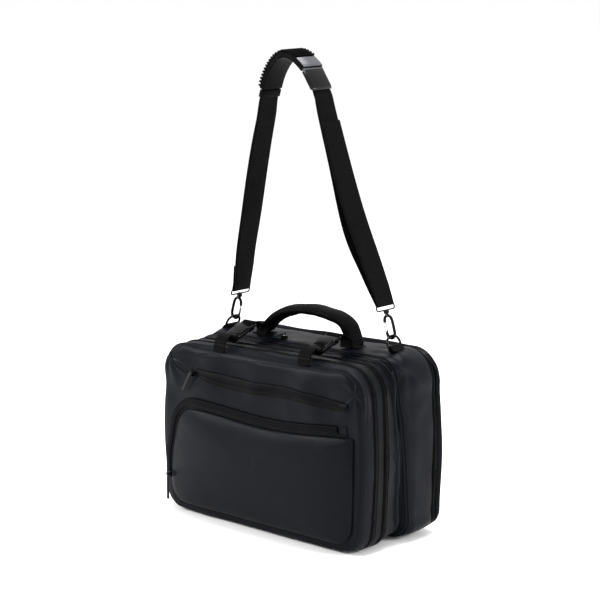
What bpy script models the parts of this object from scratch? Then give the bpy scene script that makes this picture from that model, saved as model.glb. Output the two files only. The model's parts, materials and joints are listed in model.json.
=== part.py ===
"""Expandable backpack in its briefcase form, hanging from its shoulder strap.

Metres, +Z up. X runs along the long side, the front faces -Y. The bag is laid out above its own
floor, with Y = 0 under the strap's highest point, and hangs on an empty, so that the origin is the
underside of the shoulder strap at its highest point.
"""
import math

import bmesh
import bpy
from mathutils import Matrix, Vector
from mathutils.bvhtree import BVHTree

# Bag body, across and upwards
BAG_WIDTH = 0.444
SIDE_BELLY = 0.006
FRONT_TOP = 0.300
REAR_TOP = 0.305
TOP_LEAN = 0.006
FABRIC = 0.002
TAPE = 0.0014
GAP = 0.0003

# Bag body, from the front seam to the back
FRONT_DEPTH = 0.027
ZIP_WIDTH = 0.011
BAND_DEPTH = 0.015
GUSSET_DEPTH = 0.038
REAR_DEPTH = 0.086
BACK_DEPTH = 0.017
CREASE_SLANT = 0.022

# Corner radii and how far the edges are drawn in
FRONT_SEAM_RADIUS = 0.042
FRONT_RADIUS = 0.052
SHOULDER_RADIUS = 0.036
REAR_RADIUS = 0.058
BOTTOM_RADIUS = 0.040
SEAM_INSET = 0.006
SEAM_DROP = 0.017
SEAM_LIFT = 0.006
ZIP_RIDGE = 0.0012
GUSSET_TUCK = 0.012
GUSSET_LIFT = 0.014
GUSSET_RIPPLE = 0.0022
RIPPLE_TURN = 1.7
CREASE_TUCK = 0.006
BACK_INSET = 0.030
BACK_DROP = 0.038
BACK_LIFT = 0.045
PANEL_CROWN = 0.007
BACK_CROWN = 0.005
DENT_DEPTH = 0.004

# Front pocket and its zip
POCKET_BOTTOM = 0.016
POCKET_HEIGHT = 0.170
POCKET_RISE = 0.008
POCKET_SAG = 0.009
POCKET_MARGIN = 0.009
POCKET_LEAN = 0.026
POCKET_CORNER = 0.046
POCKET_END_CORNER = 0.004
POCKET_SIDE_BOW = 0.004
POCKET_BOTTOM_CORNER = 0.034
POCKET_BULGE = 0.015
COIL_WIDTH = 0.0045
LOWER_FLAP_WIDTH = 0.013
LOWER_FLAP_DROP = 0.132
PATCH_LENGTH = 0.026

# Upper front zip
UPPER_ZIP_HEIGHT = 0.256
UPPER_ZIP_START = -0.142
UPPER_ZIP_LENGTH = 0.340
UPPER_FLAP_WIDTH = 0.018

# Compression straps and their buckles
STRAP_WEBBING = 0.025
WEBBING = 0.0018
COMPRESSION_X = 0.095
BUCKLE_LENGTH = 0.050
BUCKLE_WIDTH = 0.034
BUCKLE_THICKNESS = 0.009
BUCKLE_FRONT_LIFT = 0.013
BUCKLE_REAR_LIFT = 0.026
BUCKLE_SETBACK = 0.038
BUCKLE_BAR = 0.0035
BUCKLE_FRAME = 0.0045
BAR_CLEARANCE = 0.0008
PRONG_LENGTH = 0.018
FRONT_STRAP_RISE = 0.020
FRONT_STRAP_SEAM = 0.16
REAR_STRAP_SEAM = 0.09
REAR_STRAP_LEAD = 1.4

# Handle
HANDLE_SPAN = 0.206
HANDLE_RISE = 0.050
HANDLE_WIDTH = 0.028
HANDLE_THICKNESS = 0.013
HANDLE_Y = 0.024
FOOT_LENGTH = 0.034
HANDLE_END_WIDTH = 0.86
HANDLE_ROUND = 0.42

# Rings, hooks and strap loops
RING_SPACING = 0.368
RING_Y = 0.026
RING_WIDTH = 0.037
RING_HEIGHT = 0.023
RING_ROD = 0.0038
RING_SQUARENESS = 0.78
RING_TILT = math.radians(22)
LEFT_RING_LIFT = 0.007
RIGHT_RING_LIFT = 0.012
TAB_SEAM_DROP = 0.015
TAB_RETURN = 0.010
TAB_CLEARANCE = 0.0010
HOOK_TILT = math.radians(17)
HOOK_ROD = 0.0046
HOOK_WIDTH = 0.021
HOOK_LENGTH = 0.043
HOOK_STUB = 0.0012
HOOK_SHOULDER = 1.15
HOOK_NOSE = 0.001
HOOK_ARM = 1.02
GATE_THICKNESS = 0.0032
GATE_PIN = 0.0014
GATE_CHEEK = 0.0009
GATE_OVERLAP = 0.15
GATE_CLEAR = 0.0006
TONGUE = 0.0016
COLLAR_RADIUS = 0.0052
COLLAR_HEIGHT = 0.0075
COLLAR_BORE = 0.5
STEM_RADIUS = 0.0016
LOOP_WIDTH = 0.047
LOOP_HEIGHT = 0.0125
LOOP_WIRE = 0.0028
LOOP_CORNER = 0.0025
LOOP_LEAD = 0.012
CLEARANCE = 0.0004

# Shoulder strap
APEX_HEIGHT = 0.780
APEX_SHIFT = -0.016
SHOULDER_WEBBING = 0.038
PAD_WIDTH = 0.046
PAD_THICKNESS = 0.008
RIB_PITCH = 0.0058
RIB_HEIGHT = 0.0018
PAD_LEFT = 0.078
PAD_RIGHT = 0.044
LEFT_COLLAR = 0.013
RIGHT_COLLAR = 0.034
END_COLLAR_WALL = 0.0028
LAYER_SPREAD = 0.012
SPREAD_START = 0.286
SLIDER_HEIGHT = 0.700
LEFT_TURN_UP = 0.045

# Zip sliders and pulls
SLIDER_LENGTH = 0.010
SLIDER_WIDTH = 0.008
SLIDER_THICKNESS = 0.0034
BAIL_ROD = 0.0016
BAIL_HEIGHT = 0.0036
PULL_WIDTH = 0.0052
PULL_THICKNESS = 0.0013
KNUCKLE_WALL = 0.0010
UPPER_PULL = 0.038
LOWER_PULL = 0.044
SIDE_PULL = 0.042
TOP_PULL = 0.022
UPPER_PULL_TILT = math.radians(30)
SIDE_SLIDER_HEIGHT = 0.156
TOP_SLIDER_X = -0.048
TOP_SLIDER_Y = 0.012
TOP_PULL_DROOP = math.radians(11)

# Sections from front to rear: share of the depth, then shares of the inset, drop and lift
FRONT_ROWS = [
    {"depth": 0.00, "inset": 1.00, "drop": 1.00, "lift": 1.00},
    {"depth": 0.13, "inset": 0.40, "drop": 0.58, "lift": 0.35},
    {"depth": 0.38, "inset": 0.05, "drop": 0.20, "lift": 0.00},
    {"depth": 1.00, "inset": 0.00, "drop": 0.00, "lift": 0.00},
]
GUSSET_ROWS = [
    {"depth": 0.00, "inset": 0.00, "drop": 0.00, "lift": 0.00, "ripple": 0.0},
    {"depth": 0.05, "inset": 0.00, "drop": 0.00, "lift": 0.00, "ripple": 0.0},
    {"depth": 0.22, "inset": 1.00, "drop": 0.85, "lift": 0.95, "ripple": 0.4},
    {"depth": 0.42, "inset": 0.45, "drop": 0.30, "lift": 1.00, "ripple": 1.0},
    {"depth": 0.62, "inset": 0.00, "drop": -0.15, "lift": 0.80, "ripple": -1.0},
    {"depth": 0.84, "inset": 0.35, "drop": 0.05, "lift": 0.55, "ripple": 0.5},
]
REAR_ROWS = [
    {"depth": 0.07, "inset": 0.25, "drop": 0.25, "lift": 0.20, "back": 0.0, "slant": 0.9},
    {"depth": 0.20, "inset": 0.00, "drop": 0.00, "lift": 0.00, "back": 0.0, "slant": 0.6},
    {"depth": 0.62, "inset": 0.00, "drop": 0.00, "lift": 0.00, "back": 0.0, "slant": 0.0},
    {"depth": 0.86, "inset": 0.00, "drop": 0.00, "lift": 0.00, "back": 0.06, "slant": 0.0},
]
BACK_ROWS = [
    {"depth": 0.00, "back": 0.13},
    {"depth": 0.12, "back": 0.13},
    {"depth": 0.50, "back": 0.33},
    {"depth": 0.85, "back": 0.64},
    {"depth": 1.00, "back": 1.00},
]
# Loops of a closed face, as shares of its outline, and the share of the crown that each has
PANEL_LOOPS = [
    {"size": 0.18, "crown": 1.00},
    {"size": 0.50, "crown": 0.90},
    {"size": 0.76, "crown": 0.62},
    {"size": 0.93, "crown": 0.25},
]
BACK_LOOPS = [
    {"size": 0.30, "crown": 1.00},
    {"size": 0.65, "crown": 0.80},
    {"size": 0.90, "crown": 0.35},
]
POCKET_LOOPS = [
    {"size": 0.20, "bulge": 1.00},
    {"size": 0.52, "bulge": 0.93},
    {"size": 0.78, "bulge": 0.72},
    {"size": 0.95, "bulge": 0.42},
    {"size": 1.00, "bulge": 0.16},
    {"size": 1.00, "bulge": 0.00},
]
# Soft dents of the front face: place as shares of the half width and height, reach and depth
FRONT_DENTS = [
    {"across": -0.50, "up": 0.90, "reach": 0.040, "depth": 0.8},
    {"across": -0.05, "up": 0.92, "reach": 0.045, "depth": 0.6},
    {"across": 0.62, "up": 0.78, "reach": 0.040, "depth": -0.7},
    {"across": 0.88, "up": 0.70, "reach": 0.030, "depth": 1.0},
]
# Upper flap from left to right: place along the zip, drop of its upper edge, width
UPPER_FLAP = [
    {"along": 0.00, "drop": 0.00, "width": 0.45},
    {"along": 0.07, "drop": 0.00, "width": 0.68},
    {"along": 0.20, "drop": 0.06, "width": 0.95},
    {"along": 0.36, "drop": 0.10, "width": 0.96},
    {"along": 0.52, "drop": 0.00, "width": 0.90},
    {"along": 0.68, "drop": 0.12, "width": 0.95},
    {"along": 0.84, "drop": 0.18, "width": 0.90},
    {"along": 1.00, "drop": 0.30, "width": 0.45},
]
# Front compression webbing from its seam to the crest before the buckle: shares along and up
FRONT_STRAP_ROWS = [
    {"along": 0.00, "rise": 0.00},
    {"along": 0.05, "rise": 0.45},
    {"along": 0.30, "rise": 0.88},
    {"along": 0.62, "rise": 1.00},
]
# Handle's middle line: share of the half span and of the rise, and how full the grip is
HANDLE_ROWS = [
    {"across": -1.02, "rise": 0.00, "full": 0.0},
    {"across": -0.97, "rise": 0.18, "full": 0.1},
    {"across": -0.84, "rise": 0.44, "full": 0.5},
    {"across": -0.66, "rise": 0.70, "full": 0.9},
    {"across": -0.42, "rise": 0.89, "full": 1.0},
    {"across": -0.08, "rise": 1.00, "full": 1.0},
    {"across": 0.28, "rise": 1.00, "full": 1.0},
    {"across": 0.58, "rise": 0.92, "full": 1.0},
    {"across": 0.80, "rise": 0.78, "full": 0.8},
    {"across": 0.92, "rise": 0.58, "full": 0.4},
    {"across": 0.98, "rise": 0.28, "full": 0.1},
    {"across": 1.02, "rise": 0.00, "full": 0.0},
]
# Shoulder strap from its highest point to a hook's loop: shares of the way across and down
STRAP_ROWS = [
    {"across": 0.00, "down": 0.000},
    {"across": 0.09, "down": 0.010},
    {"across": 0.20, "down": 0.048},
    {"across": 0.29, "down": 0.098},
    {"across": 0.355, "down": 0.160},
    {"across": 0.420, "down": 0.245},
    {"across": 0.500, "down": 0.355},
    {"across": 0.615, "down": 0.520},
    {"across": 0.730, "down": 0.675},
    {"across": 0.840, "down": 0.800},
    {"across": 0.930, "down": 0.910},
]

CORNER_STEPS = 4
BOTTOM_STEPS = 4
SIDE_STEPS = 4
TOP_STEPS = 5
POCKET_SIDE_STEPS = 6
POCKET_TOP_STEPS = 9
ROUND_STEPS = 10
TURN_STEPS = 6
TAB_STEPS = 7
FOOT_STEPS = 4
RING_STEPS = 10
LEG_STEPS = 12

# What follows from the sizes above
HALF_WIDTH = BAG_WIDTH / 2
GUSSET_Y = -GUSSET_DEPTH
EXPANSION_ZIP_Y = GUSSET_Y - ZIP_WIDTH
BAND_Y = EXPANSION_ZIP_Y - BAND_DEPTH
FRONT_ZIP_Y = BAND_Y - ZIP_WIDTH
SEAM_Y = FRONT_ZIP_Y - FRONT_DEPTH
BACK_Y = REAR_DEPTH
TAB_WIDTH = RING_WIDTH - 2 * RING_ROD - 2 * CLEARANCE
SEAM_TOP = FRONT_TOP - SEAM_DROP

COLOURS = {
    "coated_fabric": {"colour": (0.024, 0.025, 0.028), "roughness": 0.45, "metallic": 0.0},
    "side_fabric": {"colour": (0.030, 0.031, 0.034), "roughness": 0.50, "metallic": 0.0},
    "webbing": {"colour": (0.010, 0.010, 0.010), "roughness": 0.75, "metallic": 0.0},
    "zip": {"colour": (0.012, 0.012, 0.013), "roughness": 0.50, "metallic": 0.0},
    "rubber_pad": {"colour": (0.014, 0.014, 0.014), "roughness": 0.60, "metallic": 0.0},
    "buckle": {"colour": (0.010, 0.010, 0.011), "roughness": 0.25, "metallic": 0.0},
    "black_metal": {"colour": (0.015, 0.015, 0.016), "roughness": 0.28, "metallic": 0.9},
    "bright_metal": {"colour": (0.62, 0.62, 0.63), "roughness": 0.25, "metallic": 1.0},
}


def clear_scene():
    """Removes every object of the scene."""
    for thing in list(bpy.data.objects):
        bpy.data.objects.remove(thing, do_unlink=True)


def make_collection(name):
    """A new collection under the scene's own."""
    group = bpy.data.collections.new(name)
    bpy.context.scene.collection.children.link(group)
    return group


def make_material(kind, name):
    """A Principled material of one of the kinds above, for one object."""
    look = COLOURS[kind]
    material = bpy.data.materials.new(name)
    material.use_nodes = True
    shader = material.node_tree.nodes["Principled BSDF"]
    shader.inputs["Base Color"].default_value = (*look["colour"], 1.0)
    shader.inputs["Roughness"].default_value = look["roughness"]
    shader.inputs["Metallic"].default_value = look["metallic"]
    return material


def add_object(name, mesh, kind, place=None):
    """Links a mesh as a named object, carried by the bag's empty, at a place in the bag."""
    thing = bpy.data.objects.new(name, mesh)
    BAG.objects.link(thing)
    thing.parent = FRAME
    if place is not None:
        thing.matrix_local = place
    if not mesh.materials:
        mesh.materials.append(make_material(kind, name))
    return thing


def add_modifier(thing, kind, **settings):
    """Adds a modifier and sets what is given."""
    modifier = thing.modifiers.new(kind.title(), kind)
    for key, value in settings.items():
        setattr(modifier, key, value)
    return modifier


def loft(name, rings, closed, round_rings=True, facing_out=True):
    """Mesh of quads between rings of points. Closed means that both ends are filled."""
    mesh = bpy.data.meshes.new(name)
    form = bmesh.new()
    rows = [[form.verts.new(point) for point in ring] for ring in rings]
    count = len(rings[0])
    last = count if round_rings else count - 1
    for near, far in zip(rows, rows[1:]):
        for index in range(last):
            after = (index + 1) % count
            form.faces.new((near[index], far[index], far[after], near[after]))
    if closed:
        form.faces.new(rows[0])
        form.faces.new(list(reversed(rows[-1])))
    if facing_out:
        bmesh.ops.recalc_face_normals(form, faces=form.faces)
    form.to_mesh(mesh)
    form.free()
    return mesh


def shell(name, rings, kind, front_face=False, rear_face=False, thickness=FABRIC):
    """A thin wall through rings that run anticlockwise seen from the front, grown inwards."""
    mesh = loft(name, rings, closed=False, facing_out=False)
    form = bmesh.new()
    form.from_mesh(mesh)
    form.verts.ensure_lookup_table()
    count = len(rings[0])
    ends = []
    if front_face:
        ends.append([form.verts[index] for index in range(count)])
    if rear_face:
        start = count * (len(rings) - 1)
        ends.append([form.verts[start + index] for index in reversed(range(count))])
    for rim in ends:
        middle = form.verts.new(sum((point.co for point in rim), Vector()) / count)
        for index in range(count):
            form.faces.new((rim[index - 1], rim[index], middle))
    bmesh.ops.triangulate(form, faces=form.faces)
    form.to_mesh(mesh)
    form.free()
    thing = add_object(name, mesh, kind)
    add_modifier(thing, "SOLIDIFY", thickness=thickness, offset=-1.0, use_even_offset=True)
    smooth(mesh)
    return thing


def smooth(mesh, angle=40):
    """Shades a mesh smooth but for edges sharper than the angle."""
    mesh.shade_smooth()
    mesh.set_sharp_from_angle(angle=math.radians(angle))


def evaluated_mesh(thing):
    """A new mesh of an object as the viewport shows it."""
    bpy.context.view_layer.update()
    graph = bpy.context.evaluated_depsgraph_get()
    return bpy.data.meshes.new_from_object(thing.evaluated_get(graph))


def weld(mesh, distance=0.00001):
    """Joins the points of a mesh that lie on each other and turns its faces outwards."""
    form = bmesh.new()
    form.from_mesh(mesh)
    bmesh.ops.remove_doubles(form, verts=form.verts, dist=distance)
    bmesh.ops.recalc_face_normals(form, faces=form.faces)
    form.to_mesh(mesh)
    form.free()
    return mesh


def curve_mesh(name, lines, closed, flat=False, thickness=0.0, rod=0.0):
    """Mesh of a curve object: a rod along lines of points, or a flat outline with its holes."""
    curve = bpy.data.curves.new(name, "CURVE")
    curve.dimensions = "2D" if flat else "3D"
    for line in lines:
        spline = curve.splines.new("POLY")
        spline.points.add(len(line) - 1)
        for point, place in zip(spline.points, line):
            point.co = (*place, 1.0) if len(place) == 3 else (*place, 0.0, 1.0)
        spline.use_cyclic_u = closed
    if flat:
        curve.fill_mode = "BOTH"
        curve.extrude = thickness / 2
    else:
        curve.bevel_depth = rod / 2
        curve.bevel_resolution = 2
        curve.use_fill_caps = True
    holder = bpy.data.objects.new(name + "_curve", curve)
    bpy.context.scene.collection.objects.link(holder)
    mesh = evaluated_mesh(holder)
    mesh.name = name
    bpy.data.objects.remove(holder)
    bpy.data.curves.remove(curve)
    return weld(mesh)


def plate(name, outlines, thickness):
    """A flat plate in its own XY plane, from an outline and the holes in it."""
    return curve_mesh(name, outlines, closed=True, flat=True, thickness=thickness)


def unite(name, meshes):
    """One closed body from overlapping meshes, by Boolean union."""
    base = bpy.data.objects.new(name + "_base", meshes[0])
    bpy.context.scene.collection.objects.link(base)
    others = []
    for index, mesh in enumerate(meshes[1:]):
        other = bpy.data.objects.new(f"{name}_add_{index}", mesh)
        CUTTERS.objects.link(other)
        others.append(other)
        add_modifier(base, "BOOLEAN", operation="UNION", object=other)
    mesh = evaluated_mesh(base)
    mesh.name = name
    for thing in [base] + others:
        bpy.data.objects.remove(thing)
    return mesh


def circle(radius, steps=ROUND_STEPS, middle=(0.0, 0.0), turn=0.0):
    """Points round a circle in a plane."""
    points = []
    for index in range(steps):
        angle = turn + 2 * math.pi * index / steps
        points.append((middle[0] + radius * math.cos(angle), middle[1] + radius * math.sin(angle)))
    return points


def rounded_box(width, height, radius, steps=2):
    """Outline of a rectangle with rounded corners, about its middle."""
    corners = [(-1, -1), (1, -1), (1, 1), (-1, 1)]
    points = []
    for number, (side_x, side_y) in enumerate(corners):
        middle = (side_x * (width / 2 - radius), side_y * (height / 2 - radius))
        for index in range(steps + 1):
            angle = math.pi * (1 + number / 2) + math.pi / 2 * index / steps
            points.append((middle[0] + radius * math.cos(angle), middle[1] + radius * math.sin(angle)))
    return points


def rounded_polygon(corners, edge_steps, bows):
    """Closed outline of points (x, z) from corners (x, z, radius), with edges that bow outwards."""
    points = []
    total = len(corners)
    arcs = []
    for index, (x, z, radius) in enumerate(corners):
        tip = Vector((x, z))
        before = (Vector(corners[index - 1][:2]) - tip).normalized()
        after = (Vector(corners[(index + 1) % total][:2]) - tip).normalized()
        half = before.angle(after) / 2
        middle = tip + (before + after).normalized() * radius / math.sin(half)
        start = tip + before * radius / math.tan(half) - middle
        end = tip + after * radius / math.tan(half) - middle
        sweep = start.angle_signed(end)
        arc = []
        for step in range(CORNER_STEPS + 1):
            turned = start.copy()
            turned.rotate(Matrix.Rotation(-sweep * step / CORNER_STEPS, 2))
            arc.append(middle + turned)
        arcs.append(arc)
    for index, arc in enumerate(arcs):
        points.extend(arc)
        start = arc[-1]
        end = arcs[(index + 1) % total][0]
        along = (end - start).normalized()
        outward = Vector((along.y, -along.x))
        for step in range(1, edge_steps[index]):
            share = step / edge_steps[index]
            bow = bows[index] * math.sin(math.pi * share) ** 2
            points.append(start.lerp(end, share) + outward * bow)
    return [(point.x, point.y) for point in points]


def bag_outline(half_width, bottom, top, top_radius, bottom_radius=BOTTOM_RADIUS):
    """Outline of the bag at one depth. The top leans down to the left."""
    corners = [
        (-half_width, bottom, bottom_radius),
        (half_width, bottom, bottom_radius),
        (half_width, top + TOP_LEAN, top_radius),
        (-half_width, top - TOP_LEAN, top_radius),
    ]
    steps = [BOTTOM_STEPS, SIDE_STEPS, TOP_STEPS, SIDE_STEPS]
    return rounded_polygon(corners, steps, [0.0, SIDE_BELLY, 0.0, SIDE_BELLY])


def mix(first, second, share):
    """A value between two others."""
    return first + (second - first) * share


def at_depth(outline, y, slant=0.0):
    """Places an outline at a depth. A slanted one lies further back at its foot."""
    return [(x, y + slant * CREASE_SLANT * (0.5 - z / REAR_TOP), z) for x, z in outline]


def shrunk(ring, share, push, middle_z):
    """A smaller copy of a ring about its middle, pushed along Y."""
    return [(x * share, y + push, mix(middle_z, z, share)) for x, y, z in ring]


def dented(point):
    """A point of the front face, moved by the soft dents in it."""
    x, y, z = point
    for dent in FRONT_DENTS:
        away = math.hypot(x - dent["across"] * HALF_WIDTH, z - dent["up"] * SEAM_TOP)
        y += DENT_DEPTH * dent["depth"] * math.exp(-(away / dent["reach"]) ** 2)
    return (x, y, z)


def front_outline(row):
    """Outline of the front compartment at a row of its table."""
    return bag_outline(
        HALF_WIDTH - SEAM_INSET * row["inset"],
        SEAM_LIFT * row["lift"],
        FRONT_TOP - SEAM_DROP * row["drop"],
        mix(FRONT_RADIUS, FRONT_SEAM_RADIUS, row["inset"]),
    )


def crease_outline(row):
    """Outline of the rear compartment towards its front crease."""
    return bag_outline(
        HALF_WIDTH - CREASE_TUCK * row["inset"],
        CREASE_TUCK * row["lift"],
        REAR_TOP - CREASE_TUCK * row["drop"],
        mix(SHOULDER_RADIUS, REAR_RADIUS, row["depth"]),
    )


def back_outline(row):
    """Outline of the rounded back at a row of its table."""
    share = row["back"]
    return bag_outline(
        HALF_WIDTH - BACK_INSET * share,
        BACK_LIFT * share,
        REAR_TOP - BACK_DROP * share,
        REAR_RADIUS,
    )


CREASE_ROW = {"depth": 0.0, "inset": 1.0, "drop": 1.0, "lift": 1.0}


def front_compartment():
    """Tray with a crowned, softly dented face and a rounded shoulder."""
    rear = FRONT_ZIP_Y - GAP
    depth = rear - SEAM_Y
    rings = [at_depth(front_outline(row), SEAM_Y + depth * row["depth"]) for row in FRONT_ROWS]
    middle_z = SEAM_TOP / 2
    face = []
    for row in PANEL_LOOPS:
        loop = shrunk(rings[0], row["size"], -PANEL_CROWN * row["crown"], middle_z)
        face.append([dented(point) for point in loop])
    return shell("front_compartment", face + rings, "coated_fabric", front_face=True)


def zip_ring(name, y):
    """Flat zip tape round the bag with its raised coil along the middle."""
    outline = front_outline(FRONT_ROWS[-1])
    ridge = bag_outline(HALF_WIDTH + ZIP_RIDGE, 0.0, FRONT_TOP + ZIP_RIDGE, FRONT_RADIUS)
    rings = [
        at_depth(outline, y),
        at_depth(ridge, y + ZIP_WIDTH / 2 - GAP / 2),
        at_depth(outline, y + ZIP_WIDTH - GAP),
    ]
    return shell(name, rings, "zip", thickness=TAPE)


def middle_band():
    """Plain band between the two zips."""
    outline = front_outline(FRONT_ROWS[-1])
    rings = [at_depth(outline, BAND_Y), at_depth(outline, EXPANSION_ZIP_Y - GAP)]
    return shell("middle_band", rings, "side_fabric")


def gusset():
    """The folded expansion gusset, drawn in between the zip and the rear compartment."""
    rings = []
    for row in GUSSET_ROWS:
        base = bag_outline(
            HALF_WIDTH - GUSSET_TUCK * row["inset"],
            GUSSET_LIFT * row["lift"],
            FRONT_TOP - GUSSET_TUCK * row["drop"],
            mix(FRONT_RADIUS, SHOULDER_RADIUS, row["depth"]),
        )
        ripple = GUSSET_RIPPLE * row["ripple"]
        moved = []
        for index, (x, z) in enumerate(base):
            wave = ripple * math.sin(RIPPLE_TURN * index)
            moved.append((x - math.copysign(abs(wave) / 2, x), z - max(wave, 0.0) * z / FRONT_TOP))
        rings.append(at_depth(moved, GUSSET_Y * (1 - row["depth"]), slant=row["depth"]))
    crease = at_depth(crease_outline(CREASE_ROW), -GAP, slant=1.0)
    return shell("gusset", rings + [crease], "side_fabric")


def rear_compartment():
    """Deep ring with pulled-up shoulders, flat on its underside."""
    rings = [at_depth(crease_outline(CREASE_ROW), 0.0, slant=1.0)]
    for row in REAR_ROWS:
        front = crease_outline(row)
        back = back_outline(row)
        share = min(1.0, row["depth"])
        outline = []
        for (x_front, z_front), (x_back, z_back) in zip(front, back):
            outline.append((mix(x_front, x_back, share), mix(z_front, z_back, share)))
        rings.append(at_depth(outline, REAR_DEPTH * row["depth"], slant=row["slant"]))
    rings.append(at_depth(back_outline(BACK_ROWS[0]), BACK_Y - ZIP_WIDTH - GAP))
    return shell("rear_compartment", rings, "side_fabric")


def rear_zip():
    """Zip tape round the rear edge, with its coil."""
    outline = back_outline(BACK_ROWS[0])
    raised = back_outline({"back": BACK_ROWS[0]["back"] - ZIP_RIDGE / BACK_INSET})
    rings = [
        at_depth(outline, BACK_Y - ZIP_WIDTH),
        at_depth(raised, BACK_Y - ZIP_WIDTH / 2),
        at_depth(outline, BACK_Y - GAP),
    ]
    return shell("rear_zip", rings, "zip", thickness=TAPE)


def back_panel():
    """Plain rounded back, a tray that closes the bag."""
    rings = [at_depth(back_outline(row), BACK_Y + BACK_DEPTH * row["depth"]) for row in BACK_ROWS]
    middle_z = REAR_TOP / 2
    face = []
    for row in reversed(BACK_LOOPS):
        face.append(shrunk(rings[-1], row["size"], BACK_CROWN * row["crown"], middle_z))
    return shell("back_panel", rings + face, "side_fabric", rear_face=True)


def skin(things):
    """A search tree over the faces of objects, in the bag's coordinates."""
    points = []
    faces = []
    for thing in things:
        mesh = evaluated_mesh(thing)
        start = len(points)
        points.extend(vertex.co.copy() for vertex in mesh.vertices)
        faces.extend([start + index for index in face.vertices] for face in mesh.polygons)
        bpy.data.meshes.remove(mesh)
    return BVHTree.FromPolygons(points, faces)


def front_at(tree, x, z):
    """Depth of the first face met from the front."""
    return tree.ray_cast(Vector((x, -1.0, z)), Vector((0.0, 1.0, 0.0)))[0].y


def top_at(tree, x, y):
    """Height of the first face met from above."""
    return tree.ray_cast(Vector((x, y, 1.0)), Vector((0.0, 0.0, -1.0)))[0].z


def proud(tree, line, depths):
    """How far the front face stands in front of the straight runs between points at these depths."""
    most = 0.0
    runs = list(zip(line, depths))
    for (start, start_y), (end, end_y) in zip(runs, runs[1:]):
        for step in range(9):
            share = step / 8
            place = (mix(start[0], end[0], share), mix(start[1], end[1], share))
            most = max(most, mix(start_y, end_y, share) - front_at(tree, *place))
    return most


def strip(name, lower, upper, tree, kind, thickness=TAPE):
    """Flat strip that lies on the front face between two lines of (x, z)."""
    low_depths = [front_at(tree, *point) for point in lower]
    high_depths = [front_at(tree, *point) for point in upper]
    middle = [(mix(a[0], b[0], 0.5), mix(a[1], b[1], 0.5)) for a, b in zip(lower, upper)]
    depths = [mix(a, b, 0.5) for a, b in zip(low_depths, high_depths)]
    lift = max(proud(tree, lower, low_depths), proud(tree, upper, high_depths))
    lift = max(lift, proud(tree, middle, depths))
    for index, (low, low_y) in enumerate(zip(lower, low_depths)):
        for other in (index - 1, index, index + 1):
            if 0 <= other < len(upper):
                lift = max(lift, proud(tree, [low, upper[other]], [low_y, high_depths[other]]))
    lift += GAP
    rings = []
    for (x_low, z_low), (x_high, z_high), low_y, high_y in zip(lower, upper, low_depths, high_depths):
        back_low = low_y - lift
        back_high = high_y - lift
        rings.append([
            (x_low, back_low, z_low),
            (x_high, back_high, z_high),
            (x_high, back_high - thickness, z_high),
            (x_low, back_low - thickness, z_low),
        ])
    return add_object(name, loft(name, rings, closed=True), kind)


def pocket_outline():
    """Outline of the lower front pocket, leaning outwards on its left, with its zip along the top."""
    right = HALF_WIDTH - SEAM_INSET - POCKET_MARGIN
    top = POCKET_BOTTOM + POCKET_HEIGHT
    corners = [
        (-right, POCKET_BOTTOM, POCKET_BOTTOM_CORNER),
        (right, POCKET_BOTTOM, POCKET_BOTTOM_CORNER),
        (right, top + POCKET_RISE, POCKET_END_CORNER),
        (-right + POCKET_LEAN, top, POCKET_CORNER),
    ]
    steps = [BOTTOM_STEPS, SIDE_STEPS, POCKET_TOP_STEPS, POCKET_SIDE_STEPS]
    return rounded_polygon(corners, steps, [0.0, POCKET_SIDE_BOW / 2, -POCKET_SAG, POCKET_SIDE_BOW])


def grown(outline, distance):
    """An outline moved outwards by a distance."""
    moved = []
    count = len(outline)
    for index, (x, z) in enumerate(outline):
        before = Vector(outline[index - 1])
        after = Vector(outline[(index + 1) % count])
        along = (after - before).normalized()
        moved.append((x + along.y * distance, z - along.x * distance))
    return moved


def zip_path(distance):
    """The pocket's zip line, a distance outside its outline, from the right end to the left foot."""
    outline = grown(pocket_outline(), distance)
    corner = CORNER_STEPS + 1
    start = 2 * corner + BOTTOM_STEPS - 1 + SIDE_STEPS - 1 + CORNER_STEPS
    line = outline[start:]
    top = POCKET_BOTTOM + POCKET_HEIGHT
    return [point for point in line if point[1] > top - LOWER_FLAP_DROP or point[0] > 0]


def pocket_panel(tree):
    """Thin bowed tray, open at the back, seated on the front face."""
    outline = pocket_outline()
    middle_z = POCKET_BOTTOM + POCKET_HEIGHT / 2
    inside = grown(outline, -FABRIC)
    depths = []
    for point, inner in zip(outline, inside):
        depths.append(min(front_at(tree, *point), front_at(tree, *inner)))
    lift = max(proud(tree, outline + outline[:1], depths + depths[:1]),
               proud(tree, inside + inside[:1], depths + depths[:1]))
    seat = [y - lift - GAP for y in depths]
    rings = []
    for row in POCKET_LOOPS:
        ring = []
        for (x, z), y in zip(outline, seat):
            inner = (x * row["size"], mix(middle_z, z, row["size"]))
            base = y if row["size"] == 1.0 else min(y, front_at(tree, *inner) - GAP)
            ring.append((inner[0], base - POCKET_BULGE * row["bulge"], inner[1]))
        rings.append(ring)
    return shell("pocket_panel", rings, "coated_fabric", front_face=True, thickness=FABRIC * 0.8)


def halved(line):
    """A line with a point added in the middle of each of its runs."""
    finer = [line[0]]
    for start, end in zip(line, line[1:]):
        finer += [(mix(start[0], end[0], 0.5), mix(start[1], end[1], 0.5)), end]
    return finer


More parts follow.
